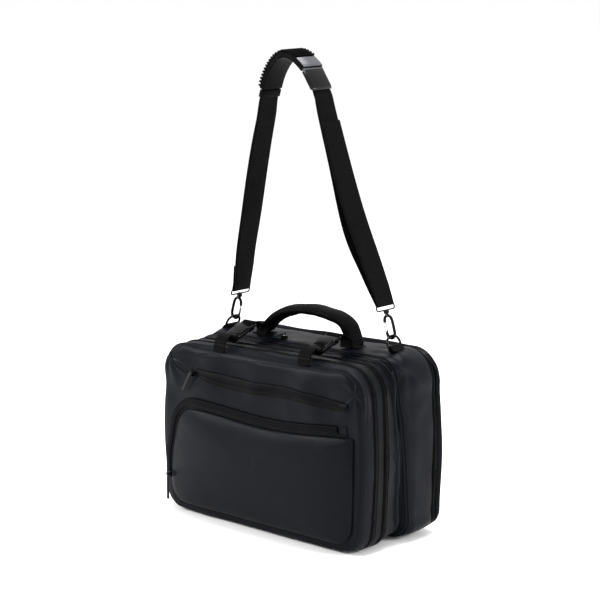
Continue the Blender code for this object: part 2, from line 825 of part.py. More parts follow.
def pocket_zip(tree):
    """The pocket's coil, the flap over it and the bare patch at its right end."""
    inside = GAP * 2
    outside = inside + COIL_WIDTH
    coil = strip("lower_zip_coil", zip_path(inside), zip_path(outside), tree, "zip")
    flap_inside = outside + GAP
    lower = zip_path(flap_inside)
    upper = zip_path(flap_inside + LOWER_FLAP_WIDTH)
    split = sum(1 for point in lower if point[0] > lower[0][0] - PATCH_LENGTH)
    flap = strip("lower_zip_flap", lower[split:], upper[split:], tree, "coated_fabric", thickness=FABRIC)
    edge = lower[split][0] + GAP * 2
    share = (lower[split - 1][0] - edge) / (lower[split - 1][0] - lower[split][0])
    low_end = (edge, mix(lower[split - 1][1], lower[split][1], share))
    high_end = (edge, mix(upper[split - 1][1], upper[split][1], share))
    low = halved(lower[:split] + [low_end])
    patch = strip("flap_end_patch", low, halved(upper[:split] + [high_end]), tree, "zip")
    return [coil, flap, patch]


def upper_zip(tree):
    """The slanted flap over the upper zip, and the coil under its lower edge."""
    upper = []
    lower = []
    coil = []
    for row in UPPER_FLAP:
        x = UPPER_ZIP_START + UPPER_ZIP_LENGTH * row["along"]
        z = UPPER_ZIP_HEIGHT - UPPER_FLAP_WIDTH * row["drop"]
        width = UPPER_FLAP_WIDTH * row["width"]
        upper.append((x, z))
        lower.append((x, z - width))
        coil.append((x, z - width - GAP))
    under = [(x, z - COIL_WIDTH) for x, z in coil]
    flap = strip("upper_zip_flap", lower, upper, tree, "coated_fabric", thickness=FABRIC)
    return [flap, strip("upper_zip_coil", under, coil, tree, "zip")]


def ribbon(path, width, thickness, across):
    """Rings of a flat webbing along a path. Across gives its width direction, one or for each point."""
    rings = []
    for index, point in enumerate(path):
        before = path[max(index - 1, 0)]
        after = path[min(index + 1, len(path) - 1)]
        along = (after - before).normalized()
        side = across[index] if isinstance(across, list) else across
        side = (side - along * side.dot(along)).normalized()
        out = along.cross(side) * thickness / 2
        side = side * width / 2
        rings.append([point - side - out, point + side - out, point + side + out, point - side + out])
    return rings


def webbing(name, path, width, across, thickness=WEBBING, kind="webbing"):
    """A webbing as a closed body along a path."""
    return add_object(name, loft(name, ribbon(path, width, thickness, across), closed=True), kind)


def turn_round(middle, radius, start, sweep, axis_one, axis_two, steps=TURN_STEPS):
    """Points of an arc about a middle, in the plane of two axes."""
    points = []
    for step in range(steps + 1):
        angle = start + sweep * step / steps
        points.append(middle + axis_one * radius * math.cos(angle) + axis_two * radius * math.sin(angle))
    return points


AXIS_X = Vector((1.0, 0.0, 0.0))
AXIS_Y = Vector((0.0, 1.0, 0.0))
AXIS_Z = Vector((0.0, 0.0, 1.0))


def buckle_meshes():
    """A fastened side-release buckle in its own plane: the body behind, the prongs before."""
    half = BUCKLE_LENGTH / 2
    slot_depth = WEBBING + 2 * BAR_CLEARANCE
    slot_width = STRAP_WEBBING + 2 * BAR_CLEARANCE
    frame_depth = BUCKLE_BAR + slot_depth + BUCKLE_BAR * 0.7
    outer = BUCKLE_WIDTH / 2
    corner = BUCKLE_BAR * 0.8
    arm = (BUCKLE_WIDTH - STRAP_WEBBING) * 0.4
    front_edge = -half + frame_depth
    body_front = front_edge + GAP
    arm_end = body_front + PRONG_LENGTH
    inner = outer - arm - GAP

    def slot(low):
        high = low + slot_depth
        across = slot_width / 2
        return [(-across, low), (across, low), (across, high), (-across, high)]

    shell_outline = [
        (-outer, half - frame_depth),
        (outer, half - frame_depth),
        (outer, arm_end + GAP),
        (inner, arm_end + 2 * GAP),
        (inner, body_front),
        (-inner, body_front),
        (-inner, arm_end + 2 * GAP),
        (-outer, arm_end + GAP),
    ]
    frame_outline = [
        (-outer, half - corner),
        (-outer + corner, half),
        (outer - corner, half),
        (outer, half - corner),
        (outer - corner / 2, half - frame_depth - corner),
        (-outer + corner / 2, half - frame_depth - corner),
    ]
    prong_outline = [
        (-outer, -half + corner),
        (-outer + corner, -half),
        (outer - corner, -half),
        (outer, -half + corner),
        (outer, arm_end),
        (outer - arm, arm_end),
        (outer - arm, front_edge),
        (-outer + arm, front_edge),
        (-outer + arm, arm_end),
        (-outer, arm_end),
    ]
    thick = plate("body_shell", [shell_outline], BUCKLE_THICKNESS)
    frame = plate("body_frame", [frame_outline, slot(half - BUCKLE_BAR - slot_depth)], BUCKLE_FRAME)
    body = unite("buckle_body", [thick, frame])
    prongs = plate("buckle_prongs", [prong_outline, slot(-half + BUCKLE_BAR)], BUCKLE_FRAME)
    return body, prongs


def round_bar(bar, along, up, start, sweep):
    """Webbing's path round a flat-sided buckle bar, with a clearance at its corners."""
    reach = BUCKLE_BAR / 2 + BAR_CLEARANCE + WEBBING / 2
    climb = BUCKLE_FRAME / 2 + BAR_CLEARANCE + WEBBING / 2
    points = []
    for step in range(TURN_STEPS + 1):
        angle = start + sweep * step / TURN_STEPS
        across = math.copysign(abs(math.cos(angle)) ** 0.6, math.cos(angle))
        upward = math.copysign(abs(math.sin(angle)) ** 0.6, math.sin(angle))
        points.append(bar + along * reach * across + up * climb * upward)
    return points


def rest_height(tree, x, y, half_width, half_depth):
    """Height at which a flat-ended piece just clears the bag below it."""
    most = 0.0
    for across in (-1, -0.5, 0, 0.5, 1):
        for back in (-1, 0, 1):
            most = max(most, top_at(tree, x + across * half_width, y + back * half_depth))
    return most + GAP


def compression_strap(side, word, tree, body, prongs):
    """Webbing from the front seam over a fastened buckle to the rear compartment."""
    x = side * COMPRESSION_X
    front_top = top_at(tree, x, FRONT_ZIP_Y)
    rear_top = top_at(tree, x, REAR_DEPTH * 0.3)
    front = Vector((x, EXPANSION_ZIP_Y - BUCKLE_SETBACK / 2, front_top + BUCKLE_FRONT_LIFT))
    rise = rear_top + BUCKLE_REAR_LIFT - front.z
    slope = math.asin(rise / BUCKLE_LENGTH)
    along = Vector((0.0, math.cos(slope), math.sin(slope)))
    up = Vector((0.0, -math.sin(slope), math.cos(slope)))
    middle = front + along * BUCKLE_LENGTH / 2
    place = Matrix.Translation(middle) @ Matrix.Rotation(slope, 4, "X")
    add_object(f"{word}_buckle_body", body, "buckle", place)
    add_object(f"{word}_buckle_prongs", prongs, "buckle", place)

    bar = front + along * BUCKLE_BAR / 2
    climb = BUCKLE_FRAME / 2 + BAR_CLEARANCE + WEBBING / 2
    seam_y = SEAM_Y + FRONT_DEPTH * FRONT_STRAP_SEAM
    seat = Vector((x, seam_y, rest_height(tree, x, seam_y, STRAP_WEBBING / 2, WEBBING)))
    crest = front_top + FRONT_STRAP_RISE
    path = []
    for row in FRONT_STRAP_ROWS:
        path.append(Vector((x, mix(seam_y, bar.y, row["along"]), mix(seat.z, crest, row["rise"]))))
    path.append(bar + up * climb - along * BUCKLE_BAR * 2)
    path += round_bar(bar, along, up, math.pi / 2, -math.pi)
    path.append(bar - up * climb - along * BUCKLE_BAR * 2)
    webbing(f"{word}_strap_front", path, STRAP_WEBBING, AXIS_X)

    bar = middle + along * (BUCKLE_LENGTH / 2 - BUCKLE_BAR / 2)
    foot_y = REAR_DEPTH * REAR_STRAP_SEAM
    foot = Vector((x, foot_y, rest_height(tree, x, foot_y, STRAP_WEBBING / 2, WEBBING)))
    path = [bar - up * climb + along * BUCKLE_BAR * REAR_STRAP_LEAD]
    path += round_bar(bar, along, up, -math.pi / 2, -math.pi)
    path.append(bar + up * climb + along * BUCKLE_BAR * REAR_STRAP_LEAD)
    path.append(Vector((x, foot_y + WEBBING, mix(foot.z, path[-1].z, 0.5))))
    path.append(foot)
    webbing(f"{word}_strap_rear", path, STRAP_WEBBING, AXIS_X)


def handle_foot(word, middle, tree):
    """Flat webbing foot that follows the top of the bag. Returns its highest point."""
    half = HANDLE_WIDTH / 2
    rings = []
    for step in range(FOOT_STEPS + 1):
        x = middle + FOOT_LENGTH * (step / FOOT_STEPS - 0.5)
        near = top_at(tree, x, HANDLE_Y - half) + 2 * GAP
        far = top_at(tree, x, HANDLE_Y + half) + 2 * GAP
        rings.append([
            (x, HANDLE_Y - half, near),
            (x, HANDLE_Y + half, far),
            (x, HANDLE_Y + half, far + WEBBING),
            (x, HANDLE_Y - half, near + WEBBING),
        ])
    name = f"{word}_handle_foot"
    add_object(name, loft(name, rings, closed=True), "webbing")
    return max(point[2] for ring in rings for point in ring)


def handle(tree):
    """Padded carrying grip and the webbing feet that it is sewn to."""
    left = handle_foot("left", -HANDLE_SPAN / 2, tree)
    right = handle_foot("right", HANDLE_SPAN / 2, tree)
    reach = HANDLE_ROWS[-1]["across"]
    points = []
    for row in HANDLE_ROWS:
        base = mix(left, right, (row["across"] + reach) / (2 * reach)) + GAP * 2
        height = base + HANDLE_RISE * row["rise"]
        points.append(Vector((row["across"] * HANDLE_SPAN / 2, HANDLE_Y, height)))
    rings = []
    for index, (row, middle) in enumerate(zip(HANDLE_ROWS, points)):
        if row["rise"] == 0.0:
            along = AXIS_Z * math.copysign(1.0, -row["across"])
        else:
            along = (points[index + 1] - points[index - 1]).normalized()
        out = along.cross(AXIS_Y)
        thickness = mix(WEBBING * 2, HANDLE_THICKNESS, row["full"])
        width = mix(HANDLE_WIDTH * HANDLE_END_WIDTH, HANDLE_WIDTH, row["full"])
        section = rounded_box(width, thickness, thickness * HANDLE_ROUND, steps=1)
        rings.append([middle + AXIS_Y * a + out * b for a, b in section])
    thing = add_object("handle_grip", loft("handle_grip", rings, closed=True), "webbing")
    smooth(thing.data, 60)


def cleared(tree, point, out, distance):
    """A point of a tab's path, moved off the bag until the tab's whole width keeps its distance."""
    away = (AXIS_Z + out).normalized()
    while True:
        least = 1.0
        for across in (-0.5, -0.25, 0.0, 0.25, 0.5):
            place = point + AXIS_Y * TAB_WIDTH * across
            nearest, normal = tree.find_nearest(place)[:2]
            least = min(least, (place - nearest).dot(normal))
        if least >= distance + WEBBING / 2:
            return point
        point = point + away * GAP


def ring_points():
    """Middle line of a D-ring in its own plane, bar below: (along Y, up)."""
    half = (RING_WIDTH - RING_ROD) / 2
    height = RING_HEIGHT - RING_ROD
    points = []
    for step in range(RING_STEPS + 1):
        angle = math.pi * step / RING_STEPS
        across = math.copysign(abs(math.cos(angle)) ** RING_SQUARENESS, math.cos(angle))
        points.append((half * across, height * math.sin(angle) ** RING_SQUARENESS))
    return points


def hook_middle_line():
    """Middle line of the hook from its lower stub round the bow and over to the nose: (out, up)."""
    reach = (HOOK_WIDTH - HOOK_ROD) / 2
    height = HOOK_LENGTH - HOOK_ROD
    shoulder = height - reach * HOOK_SHOULDER
    points = [(-reach, reach + HOOK_STUB)]
    for step in range(7):
        angle = math.pi * (1 + step / 6)
        points.append((reach * math.cos(angle), reach + reach * math.sin(angle)))
    points.append((reach * HOOK_ARM, mix(reach, shoulder, 0.55)))
    for step in range(6):
        angle = math.pi * step / 6
        points.append((reach * math.cos(angle), shoulder + (height - shoulder) * math.sin(angle)))
    points.append((-reach, shoulder - HOOK_NOSE))
    return points


def hook_set(side, word, tree):
    """Webbing tab, D-ring, hook, gate and strap loop of one side. Returns the loop's top bar."""
    out = Vector((float(side), 0.0, 0.0))
    ring_lift = RIGHT_RING_LIFT if side > 0 else LEFT_RING_LIFT
    ring_x = side * RING_SPACING / 2
    bar = Vector((ring_x, RING_Y, top_at(tree, ring_x, RING_Y) + ring_lift))

    ring_up = (AXIS_Z * math.cos(RING_TILT) - out * math.sin(RING_TILT)).normalized()
    line = [bar + AXIS_Y * a + ring_up * b for a, b in ring_points()]
    mesh = curve_mesh(f"{word}_d_ring", [[tuple(point - bar) for point in line]], closed=True, rod=RING_ROD)
    smooth(mesh, 50)
    add_object(f"{word}_d_ring", mesh, "black_metal", Matrix.Translation(bar))

    seam_z = top_at(tree, ring_x, RING_Y) - TAB_SEAM_DROP
    hit = tree.ray_cast(Vector((side * 1.0, RING_Y, seam_z)), -out)
    turn = RING_ROD / 2 + CLEARANCE + WEBBING / 2
    foot = hit[0] + hit[1] * WEBBING / 2
    along = (foot - bar).normalized()
    normal = along.cross(AXIS_Y) * -side
    path = []
    for step in range(TAB_STEPS):
        point = foot.lerp(bar + normal * turn, step / TAB_STEPS)
        path.append(cleared(tree, point, out, GAP if step == 0 else TAB_CLEARANCE))
    start = math.pi / 2
    path += turn_round(bar, turn, start, math.pi, along, normal)
    path.append(bar - normal * turn + along * TAB_RETURN)
    webbing(f"{word}_ring_tab", path, TAB_WIDTH, AXIS_Y)

    ring_top = bar + ring_up * (RING_HEIGHT - RING_ROD)
    hook_up = (AXIS_Z * math.cos(HOOK_TILT) - out * math.sin(HOOK_TILT)).normalized()
    hook_out = AXIS_Y.cross(hook_up) * side
    origin = ring_top - hook_up * ((RING_ROD + HOOK_ROD) / 2 + CLEARANCE)
    turn_matrix = Matrix((hook_out * side, AXIS_Y, hook_up)).transposed().to_4x4()
    place = Matrix.Translation(origin) @ turn_matrix

    line = [(side * a, 0.0, b) for a, b in hook_middle_line()]
    rod = curve_mesh(f"{word}_hook_rod", [line], closed=False, rod=HOOK_ROD)
    reach = (HOOK_WIDTH - HOOK_ROD) / 2
    height = HOOK_LENGTH - HOOK_ROD
    pivot_z = reach + HOOK_STUB + HOOK_ROD / 2 + GATE_CLEAR
    round_off = HOOK_ROD / 2 - CLEARANCE
    pivot_x = -side * reach
    tongue_outline = [(pivot_x - round_off, reach), (pivot_x + round_off, reach)]
    for step in range(7):
        angle = math.pi * step / 6
        tongue_outline.append((pivot_x + round_off * math.cos(angle), pivot_z + round_off * math.sin(angle)))
    hole = circle(GATE_PIN / 2 + CLEARANCE * 0.75, 8, (pivot_x, pivot_z))
    tongue = plate("tongue", [tongue_outline, hole], TONGUE)
    tongue.transform(Matrix.Rotation(math.pi / 2, 4, "X"))
    collar_z = height + HOOK_ROD / 2 + GAP
    stem = cylinder("stem", STEM_RADIUS, height, collar_z + COLLAR_HEIGHT * COLLAR_BORE - GAP)
    mesh = unite(f"{word}_hook", [rod, tongue, stem])
    smooth(mesh, 50)
    add_object(f"{word}_hook", mesh, "black_metal", place)

    gate(side, word, place, reach, pivot_z, height)

    loop_z = collar_z + COLLAR_HEIGHT - LOOP_WIRE / 2
    collar = turned_collar(collar_z)
    tall = LOOP_HEIGHT - LOOP_WIRE
    outline = rounded_box(LOOP_WIDTH - LOOP_WIRE, tall, LOOP_CORNER, steps=2)
    wire_line = [(0.0, a, loop_z + tall / 2 + b) for a, b in outline]
    wire = curve_mesh("loop_wire", [wire_line], closed=True, rod=LOOP_WIRE)
    mesh = unite(f"{word}_strap_loop", [collar, wire])
    smooth(mesh, 50)
    add_object(f"{word}_strap_loop", mesh, "black_metal", place)
    return place @ Vector((0.0, 0.0, loop_z + tall))


def cylinder(name, radius, low, high, steps=8):
    """An upright cylinder between two heights."""
    rings = [[(x, y, z) for x, y in circle(radius, steps)] for z in (low, high)]
    return loft(name, rings, closed=True)


def turned_collar(low):
    """Swivel collar with the bore that the hook's stem turns in, open below."""
    bore = STEM_RADIUS + CLEARANCE
    profile = [
        (bore, 0.0),
        (COLLAR_RADIUS * 0.80, 0.0),
        (COLLAR_RADIUS, COLLAR_HEIGHT * 0.3),
        (COLLAR_RADIUS * 0.92, COLLAR_HEIGHT * 0.75),
        (COLLAR_RADIUS * 0.45, COLLAR_HEIGHT),
    ]
    steps = 12
    rings = [[(x, y, low + z) for x, y in circle(radius, steps)] for radius, z in profile]
    bottom = COLLAR_HEIGHT * COLLAR_BORE
    inside = [[(x, y, low + bottom) for x, y in circle(bore, steps)]]
    rings = inside + rings
    return loft("collar", rings, closed=True)


def gate(side, word, place, reach, pivot_z, height):
    """Sprung gate: a cheek either side of the hook's tongue, a pin through it and a flat lever."""
    pivot = Vector((-side * reach, 0.0, pivot_z))
    nose = height - reach * HOOK_SHOULDER - HOOK_NOSE
    tip = nose - HOOK_ROD * GATE_OVERLAP - CLEARANCE - pivot_z
    half = GATE_THICKNESS / 2
    lever = [(-half, HOOK_ROD / 2 + GAP), (half, HOOK_ROD / 2 + GAP), (half, tip), (-half, tip)]
    bar = plate("gate_bar", [lever], HOOK_ROD * 0.85)
    bar.transform(Matrix.Rotation(math.pi / 2, 4, "X"))
    cheek_outline = []
    for step in range(7):
        angle = math.pi * (1 + step / 6)
        cheek_outline.append((half * math.cos(angle), half * math.sin(angle)))
    cheek_top = HOOK_ROD / 2 + GATE_CHEEK
    cheek_outline += [(half, cheek_top), (-half, cheek_top)]
    pieces = [bar]
    for face in (-1, 1):
        cheek = plate("gate_cheek", [cheek_outline], GATE_CHEEK)
        cheek.transform(Matrix.Rotation(math.pi / 2, 4, "X"))
        shift = face * (TONGUE / 2 + GAP + GATE_CHEEK / 2)
        cheek.transform(Matrix.Translation((0.0, shift, 0.0)))
        pieces.append(cheek)
    length = TONGUE + 2 * GAP + GATE_CHEEK
    pin = cylinder("gate_pin", GATE_PIN / 2, -length / 2, length / 2)
    pin.transform(Matrix.Rotation(math.pi / 2, 4, "X"))
    pieces.append(pin)
    mesh = unite(f"{word}_gate", pieces)
    add_object(f"{word}_gate", mesh, "bright_metal", place @ Matrix.Translation(pivot))


def smooth_path(points, steps):
    """Points of a smooth curve through others, with a number of steps between each two."""
    path = []
    for index in range(len(points) - 1):
        before = points[max(index - 1, 0)]
        start = points[index]
        end = points[index + 1]
        after = points[min(index + 2, len(points) - 1)]
        for step in range(steps):
            share = step / steps
            path.append(0.5 * (
                2 * start + (end - before) * share
                + (2 * before - 5 * start + 4 * end - after) * share ** 2
                + (3 * start - 3 * end + after - before) * share ** 3
            ))
    path.append(points[-1].copy())
    return path


def strap_line(bar):
    """Underside of the shoulder strap from its highest point down to a loop's bar."""
    apex = Vector((APEX_SHIFT, 0.0, APEX_HEIGHT))
    points = []
    for row in STRAP_ROWS:
        x = mix(apex.x, bar.x, row["across"])
        z = mix(apex.z, bar.z, row["down"])
        points.append(Vector((x, mix(0.0, bar.y, row["down"]), z)))
    return points


def length_along(path):
    """Distance from the first point to each point of a path."""
    total = [0.0]
    for first, second in zip(path, path[1:]):
        total.append(total[-1] + (second - first).length)
    return total


def shoulder_pad(arch, spans, middle):
    """Ribbed pad over the top of the strap, its underside on the strap's line."""
    first = -round(PAD_LEFT / RIB_PITCH * 2)
    last = round(PAD_RIGHT / RIB_PITCH * 2)
    fine = []
    for step in range(first, last + 1):
        fine.append(point_at(arch, spans, middle + step * RIB_PITCH / 2))
    rings = []
    for index, point in enumerate(fine):
        before = fine[max(index - 1, 0)]
        after = fine[min(index + 1, len(fine) - 1)]
        out = (after - before).cross(AXIS_Y).normalized()
        rib = RIB_HEIGHT if index % 2 else 0.0
        across = AXIS_Y * PAD_WIDTH / 2
        top = out * (PAD_THICKNESS + rib)
        rings.append([point - across, point + across, point + across + top, point - across + top])
    add_object("shoulder_pad", loft("shoulder_pad", rings, closed=True), "rubber_pad")
    return {-1: -first * RIB_PITCH / 2, 1: last * RIB_PITCH / 2}


def shoulder_strap(left_bar, right_bar):
    """The pad and both legs, from one smooth line through both loops' bars."""
    left = smooth_path(strap_line(left_bar), 2)
    right = smooth_path(strap_line(right_bar), 2)
    arch = list(reversed(left)) + right[1:]
    spans = length_along(arch)
    middle = spans[len(left) - 1]
    reach = shoulder_pad(arch, spans, middle)
    strap_leg(-1, "left", arch, spans, middle, reach[-1], left_bar)
    strap_leg(1, "right", arch, spans, middle, reach[1], right_bar)


def point_at(path, spans, distance):
    """The point of a path at a distance along it."""
    for index in range(len(spans) - 1):
        if distance <= spans[index + 1] or index == len(spans) - 2:
            share = (distance - spans[index]) / (spans[index + 1] - spans[index])
            return path[index].lerp(path[index + 1], share)


def strap_leg(side, word, arch, spans, middle, reach, bar):
    """One leg of the strap, from its collar on the pad round its loop's bar and back up."""
    collar = RIGHT_COLLAR if side > 0 else LEFT_COLLAR
    turn = LOOP_WIRE / 2 + CLEARANCE + WEBBING / 2
    start = reach + 3 * GAP + collar + END_COLLAR_WALL
    end = max(spans) - middle if side > 0 else middle
    line = []
    for step in range(LEG_STEPS + 1):
        line.append(point_at(arch, spans, middle + side * mix(start, end, step / LEG_STEPS)))
    pad_end = point_at(arch, spans, middle + side * reach)
    leaving = line[0] - pad_end
    leaving.y = 0.0
    leaving.normalize()
    first = pad_end + leaving * 3 * GAP + leaving.cross(AXIS_Y) * side * PAD_THICKNESS / 2
    down = (bar - line[-1]).normalized()
    outward = down.cross(AXIS_Y).normalized() * side
    path = [first, first + leaving * (collar + END_COLLAR_WALL)]
    for index, point in enumerate(line[1:-1]):
        share = (index + 1) / LEG_STEPS
        spread = min(1.0, max(0.0, (share - SPREAD_START) / (1 - SPREAD_START)))
        bow = outward * LAYER_SPREAD * math.sin(math.pi * spread ** 2)
        path.append(point - bow if side > 0 else point)
    path.append(bar - outward * turn - down * LOOP_LEAD)
    path += turn_round(bar, turn, math.pi, -math.pi, outward, down)
    climb = bar + outward * turn
    if side < 0:
        path.append(climb - down * LEFT_TURN_UP * 0.4 - outward * CLEARANCE * 2)
        path.append(climb - down * LEFT_TURN_UP - outward * CLEARANCE * 3)
    else:
        path += outer_layer(line, outward)
    webbing(f"{word}_strap_leg", path, SHOULDER_WEBBING, AXIS_Y)
    end_collar(word, path[0], path[1], collar)


def end_collar(word, start, end, length):
    """Flat moulded collar round the webbing where it leaves the pad."""
    along = (end - start).normalized()
    out = along.cross(AXIS_Y)
    hole_width = SHOULDER_WEBBING + 2 * CLEARANCE
    hole_height = WEBBING + 2 * CLEARANCE
    near = start + along * 2 * GAP
    far = near + along * length

    def ring(middle, wall):
        across = AXIS_Y * (hole_width / 2 + wall)
        up = out * (hole_height / 2 + wall)
        return [middle - across - up, middle + across - up, middle + across + up, middle - across + up]

    rings = [ring(near, 0.0), ring(near, END_COLLAR_WALL), ring(far, END_COLLAR_WALL), ring(far, 0.0)]
    rings.append(ring(near, 0.0))
    name = f"{word}_pad_collar"
    mesh = loft(name, rings, closed=False)
    add_object(name, weld(mesh), "buckle")


def outer_layer(line, outward):
    """The right leg's second layer, from the loop up to its free end."""
    path = []
    apart = WEBBING + 4 * GAP
    for index in range(len(line) - 2, 0, -1):
        point = line[index]
        if point.z > SLIDER_HEIGHT:
            break
        path.append(point + outward * apart)
    return path


def pull_profile(length):
    """Side view of a pull: a knuckle with its bore and a flat tail, hanging down: (out, down)."""
    bore = BAIL_ROD / 2 + CLEARANCE
    outer = bore + KNUCKLE_WALL
    half = PULL_THICKNESS / 2
    start = math.asin(half / outer)
    outline = []
    steps = 10
    for step in range(steps + 1):
        angle = -math.pi / 2 + start + (2 * math.pi - 2 * start) * step / steps
        outline.append((outer * math.cos(angle), outer * math.sin(angle)))
    outline += [(-half, -length), (half, -length)]
    return [outline, circle(bore, 8)]


def zip_slider(word, place, length, droop=0.0):
    """Slider with its bail along local X, and its pull, which droops towards the bag by an angle."""
    body = bpy.data.meshes.new("slider_body")
    form = bmesh.new()
    bmesh.ops.create_cube(form, size=1.0)
    scale = Matrix.Diagonal((SLIDER_WIDTH, SLIDER_THICKNESS, SLIDER_LENGTH, 1.0))
    bmesh.ops.transform(form, matrix=scale, verts=form.verts)
    form.to_mesh(body)
    form.free()
    body.transform(Matrix.Translation((0.0, -SLIDER_THICKNESS / 2, 0.0)))
    front = -SLIDER_THICKNESS
    rod_y = front - BAIL_HEIGHT
    half = PULL_WIDTH / 2 + CLEARANCE + BAIL_ROD / 2
    foot = front + BAIL_ROD * 0.3
    line = [(-half, foot, 0.0), (-half, rod_y, 0.0), (half, rod_y, 0.0), (half, foot, 0.0)]
    bail = curve_mesh("slider_bail", [line], closed=False, rod=BAIL_ROD)
    mesh = unite(f"{word}_slider", [body, bail])
    add_object(f"{word}_slider", mesh, "black_metal", place)
    tail = plate(f"{word}_pull", pull_profile(length), PULL_WIDTH)
    upright = Matrix(((0, 0, 1, 0), (-1, 0, 0, 0), (0, 1, 0, 0), (0, 0, 0, 1)))
    tail.transform(upright)
    weld(tail)
    hinge = Matrix.Translation((0.0, rod_y, 0.0)) @ Matrix.Rotation(droop, 4, "X")
    add_object(f"{word}_pull", tail, "black_metal", place @ hinge)


def clear_front(tree, x, z):
    """Depth at which a slider just clears everything behind it."""
    depths = []
    for across in (-1, 0, 1):
        for up in (-1, 0, 1):
            depths.append(front_at(tree, x + across * SLIDER_WIDTH / 2, z + up * SLIDER_LENGTH / 2))
    return min(depths) - GAP


def sliders(tree, side_tree):
    """The four sliders: upper zip, pocket zip, front zip on the left side, and top."""
    x = UPPER_ZIP_START - SLIDER_WIDTH * 0.8
    z = UPPER_ZIP_HEIGHT - UPPER_FLAP_WIDTH * UPPER_FLAP[0]["width"]
    y = clear_front(tree, x, z)
    place = Matrix.Translation((x, y, z)) @ Matrix.Rotation(UPPER_PULL_TILT, 4, "Y")
    zip_slider("upper_zip", place, UPPER_PULL)

    x, z = zip_path(GAP * 2 + COIL_WIDTH / 2)[-1]
    z -= SLIDER_LENGTH * 0.8
    y = clear_front(tree, x, z)
    zip_slider("pocket_zip", Matrix.Translation((x, y, z)), LOWER_PULL)

    y = FRONT_ZIP_Y + ZIP_WIDTH / 2
    z = SIDE_SLIDER_HEIGHT
    hit = side_tree.ray_cast(Vector((-1.0, y, z)), Vector((1.0, 0.0, 0.0)))[0]
    place = Matrix.Translation((hit.x - GAP * 3, y, z)) @ Matrix.Rotation(math.radians(-90), 4, "Z")
    zip_slider("front_zip", place, SIDE_PULL)

    z = top_at(side_tree, TOP_SLIDER_X, TOP_SLIDER_Y) + GAP * 3
    lie = Matrix.Rotation(math.radians(-90), 4, "X")
    place = Matrix.Translation((TOP_SLIDER_X, TOP_SLIDER_Y, z)) @ lie
    zip_slider("top_zip", place, TOP_PULL, TOP_PULL_DROOP)


def build():
    """Models the whole backpack."""
    front = front_compartment()
    parts = [front, zip_ring("front_zip", FRONT_ZIP_Y), middle_band(), zip_ring("expansion_zip", EXPANSION_ZIP_Y)]
    parts += [gusset(), rear_compartment(), rear_zip(), back_panel()]
    face = skin([front])
    trims = [pocket_panel(face)]
    trims += pocket_zip(face)
    trims += upper_zip(face)
    body = skin(parts)
    buckle_body, prongs = buckle_meshes()
    for side, word in ((-1, "left"), (1, "right")):
        compression_strap(side, word, body, buckle_body, prongs)
    handle(body)
    left_bar = hook_set(-1, "left", body)
    right_bar = hook_set(1, "right", body)
    shoulder_strap(left_bar, right_bar)
    sliders(skin([front] + trims), body)


clear_scene()
BAG = make_collection("expandable_backpack")
CUTTERS = make_collection("cutters")
FRAME = bpy.data.objects.new("strap_hang", None)
FRAME.location = (-APEX_SHIFT, 0.0, -APEX_HEIGHT)
BAG.objects.link(FRAME)
build()
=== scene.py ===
"""Looks of the expandable backpack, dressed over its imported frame.

Lengths are metres in the row's frame. Shapes that follow the bag are measured from its lower front
middle, the place BAG, with X along the long side, the front at -Y and Z up.
"""

import json
import math

import bmesh
import bpy
import numpy as np
from mathutils import Matrix, Vector, noise
from mathutils.bvhtree import BVHTree

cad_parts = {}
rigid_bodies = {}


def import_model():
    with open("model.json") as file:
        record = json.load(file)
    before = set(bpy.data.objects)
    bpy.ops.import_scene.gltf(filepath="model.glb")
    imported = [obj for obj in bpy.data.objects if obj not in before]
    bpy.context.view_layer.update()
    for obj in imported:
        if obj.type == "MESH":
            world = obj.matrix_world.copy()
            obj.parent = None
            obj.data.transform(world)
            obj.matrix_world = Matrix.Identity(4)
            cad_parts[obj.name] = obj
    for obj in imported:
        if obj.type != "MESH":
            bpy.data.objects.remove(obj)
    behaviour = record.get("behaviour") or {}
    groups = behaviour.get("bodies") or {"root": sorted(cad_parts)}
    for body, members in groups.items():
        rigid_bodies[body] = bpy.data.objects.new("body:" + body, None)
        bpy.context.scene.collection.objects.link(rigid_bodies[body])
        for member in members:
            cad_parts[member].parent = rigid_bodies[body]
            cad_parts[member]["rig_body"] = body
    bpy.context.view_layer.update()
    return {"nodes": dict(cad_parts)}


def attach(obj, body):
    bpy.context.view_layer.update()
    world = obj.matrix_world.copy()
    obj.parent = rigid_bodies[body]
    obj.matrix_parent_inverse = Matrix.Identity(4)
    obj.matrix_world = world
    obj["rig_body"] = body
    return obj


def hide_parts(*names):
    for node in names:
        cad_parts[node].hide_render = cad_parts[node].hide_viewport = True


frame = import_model()

BAG = Vector((0.016, 0.0, -0.780))
HALF_WIDTH = 0.222
FRONT_TOP = 0.300
REAR_TOP = 0.305
SEAM_Y = -0.102
CREASE_SLANT = 0.022
FRONT_ZIP_MIDDLE = -0.0697
EXPANSION_ZIP_MIDDLE = -0.0437
REAR_ZIP_MIDDLE = 0.0805
FLOOR_Z = -0.7805
FRONT_OUT = Vector((0.0, -1.0, 0.0))

PHOTO_AZIMUTH = math.radians(42.3)
PHOTO_PITCH = math.radians(11.0)
PHOTO_DISTANCE = 3.490
PHOTO_TARGET = Vector((0.0110, 0.005, -0.4044))
PHOTO_LENS = 125.5


def mix(first, second, share):
    """A value between two others."""
    return first + (second - first) * share


def swell(away, reach):
    """A soft hump, one at no distance and nothing well past its reach."""
    return math.exp(-(away / reach) ** 2)


def ramp(value, start, run):
    """Rises from nothing to one as a value leaves start by a run, which may be negative."""
    return min(1.0, max(0.0, (value - start) / run))


def linked(name, data):
    """A new object of the scene."""
    thing = bpy.data.objects.new(name, data)
    bpy.context.scene.collection.objects.link(thing)
    return thing


# Materials

# Scale of the Wave texture at which its bands lie one metre apart
BAND_SCALE = 0.314159


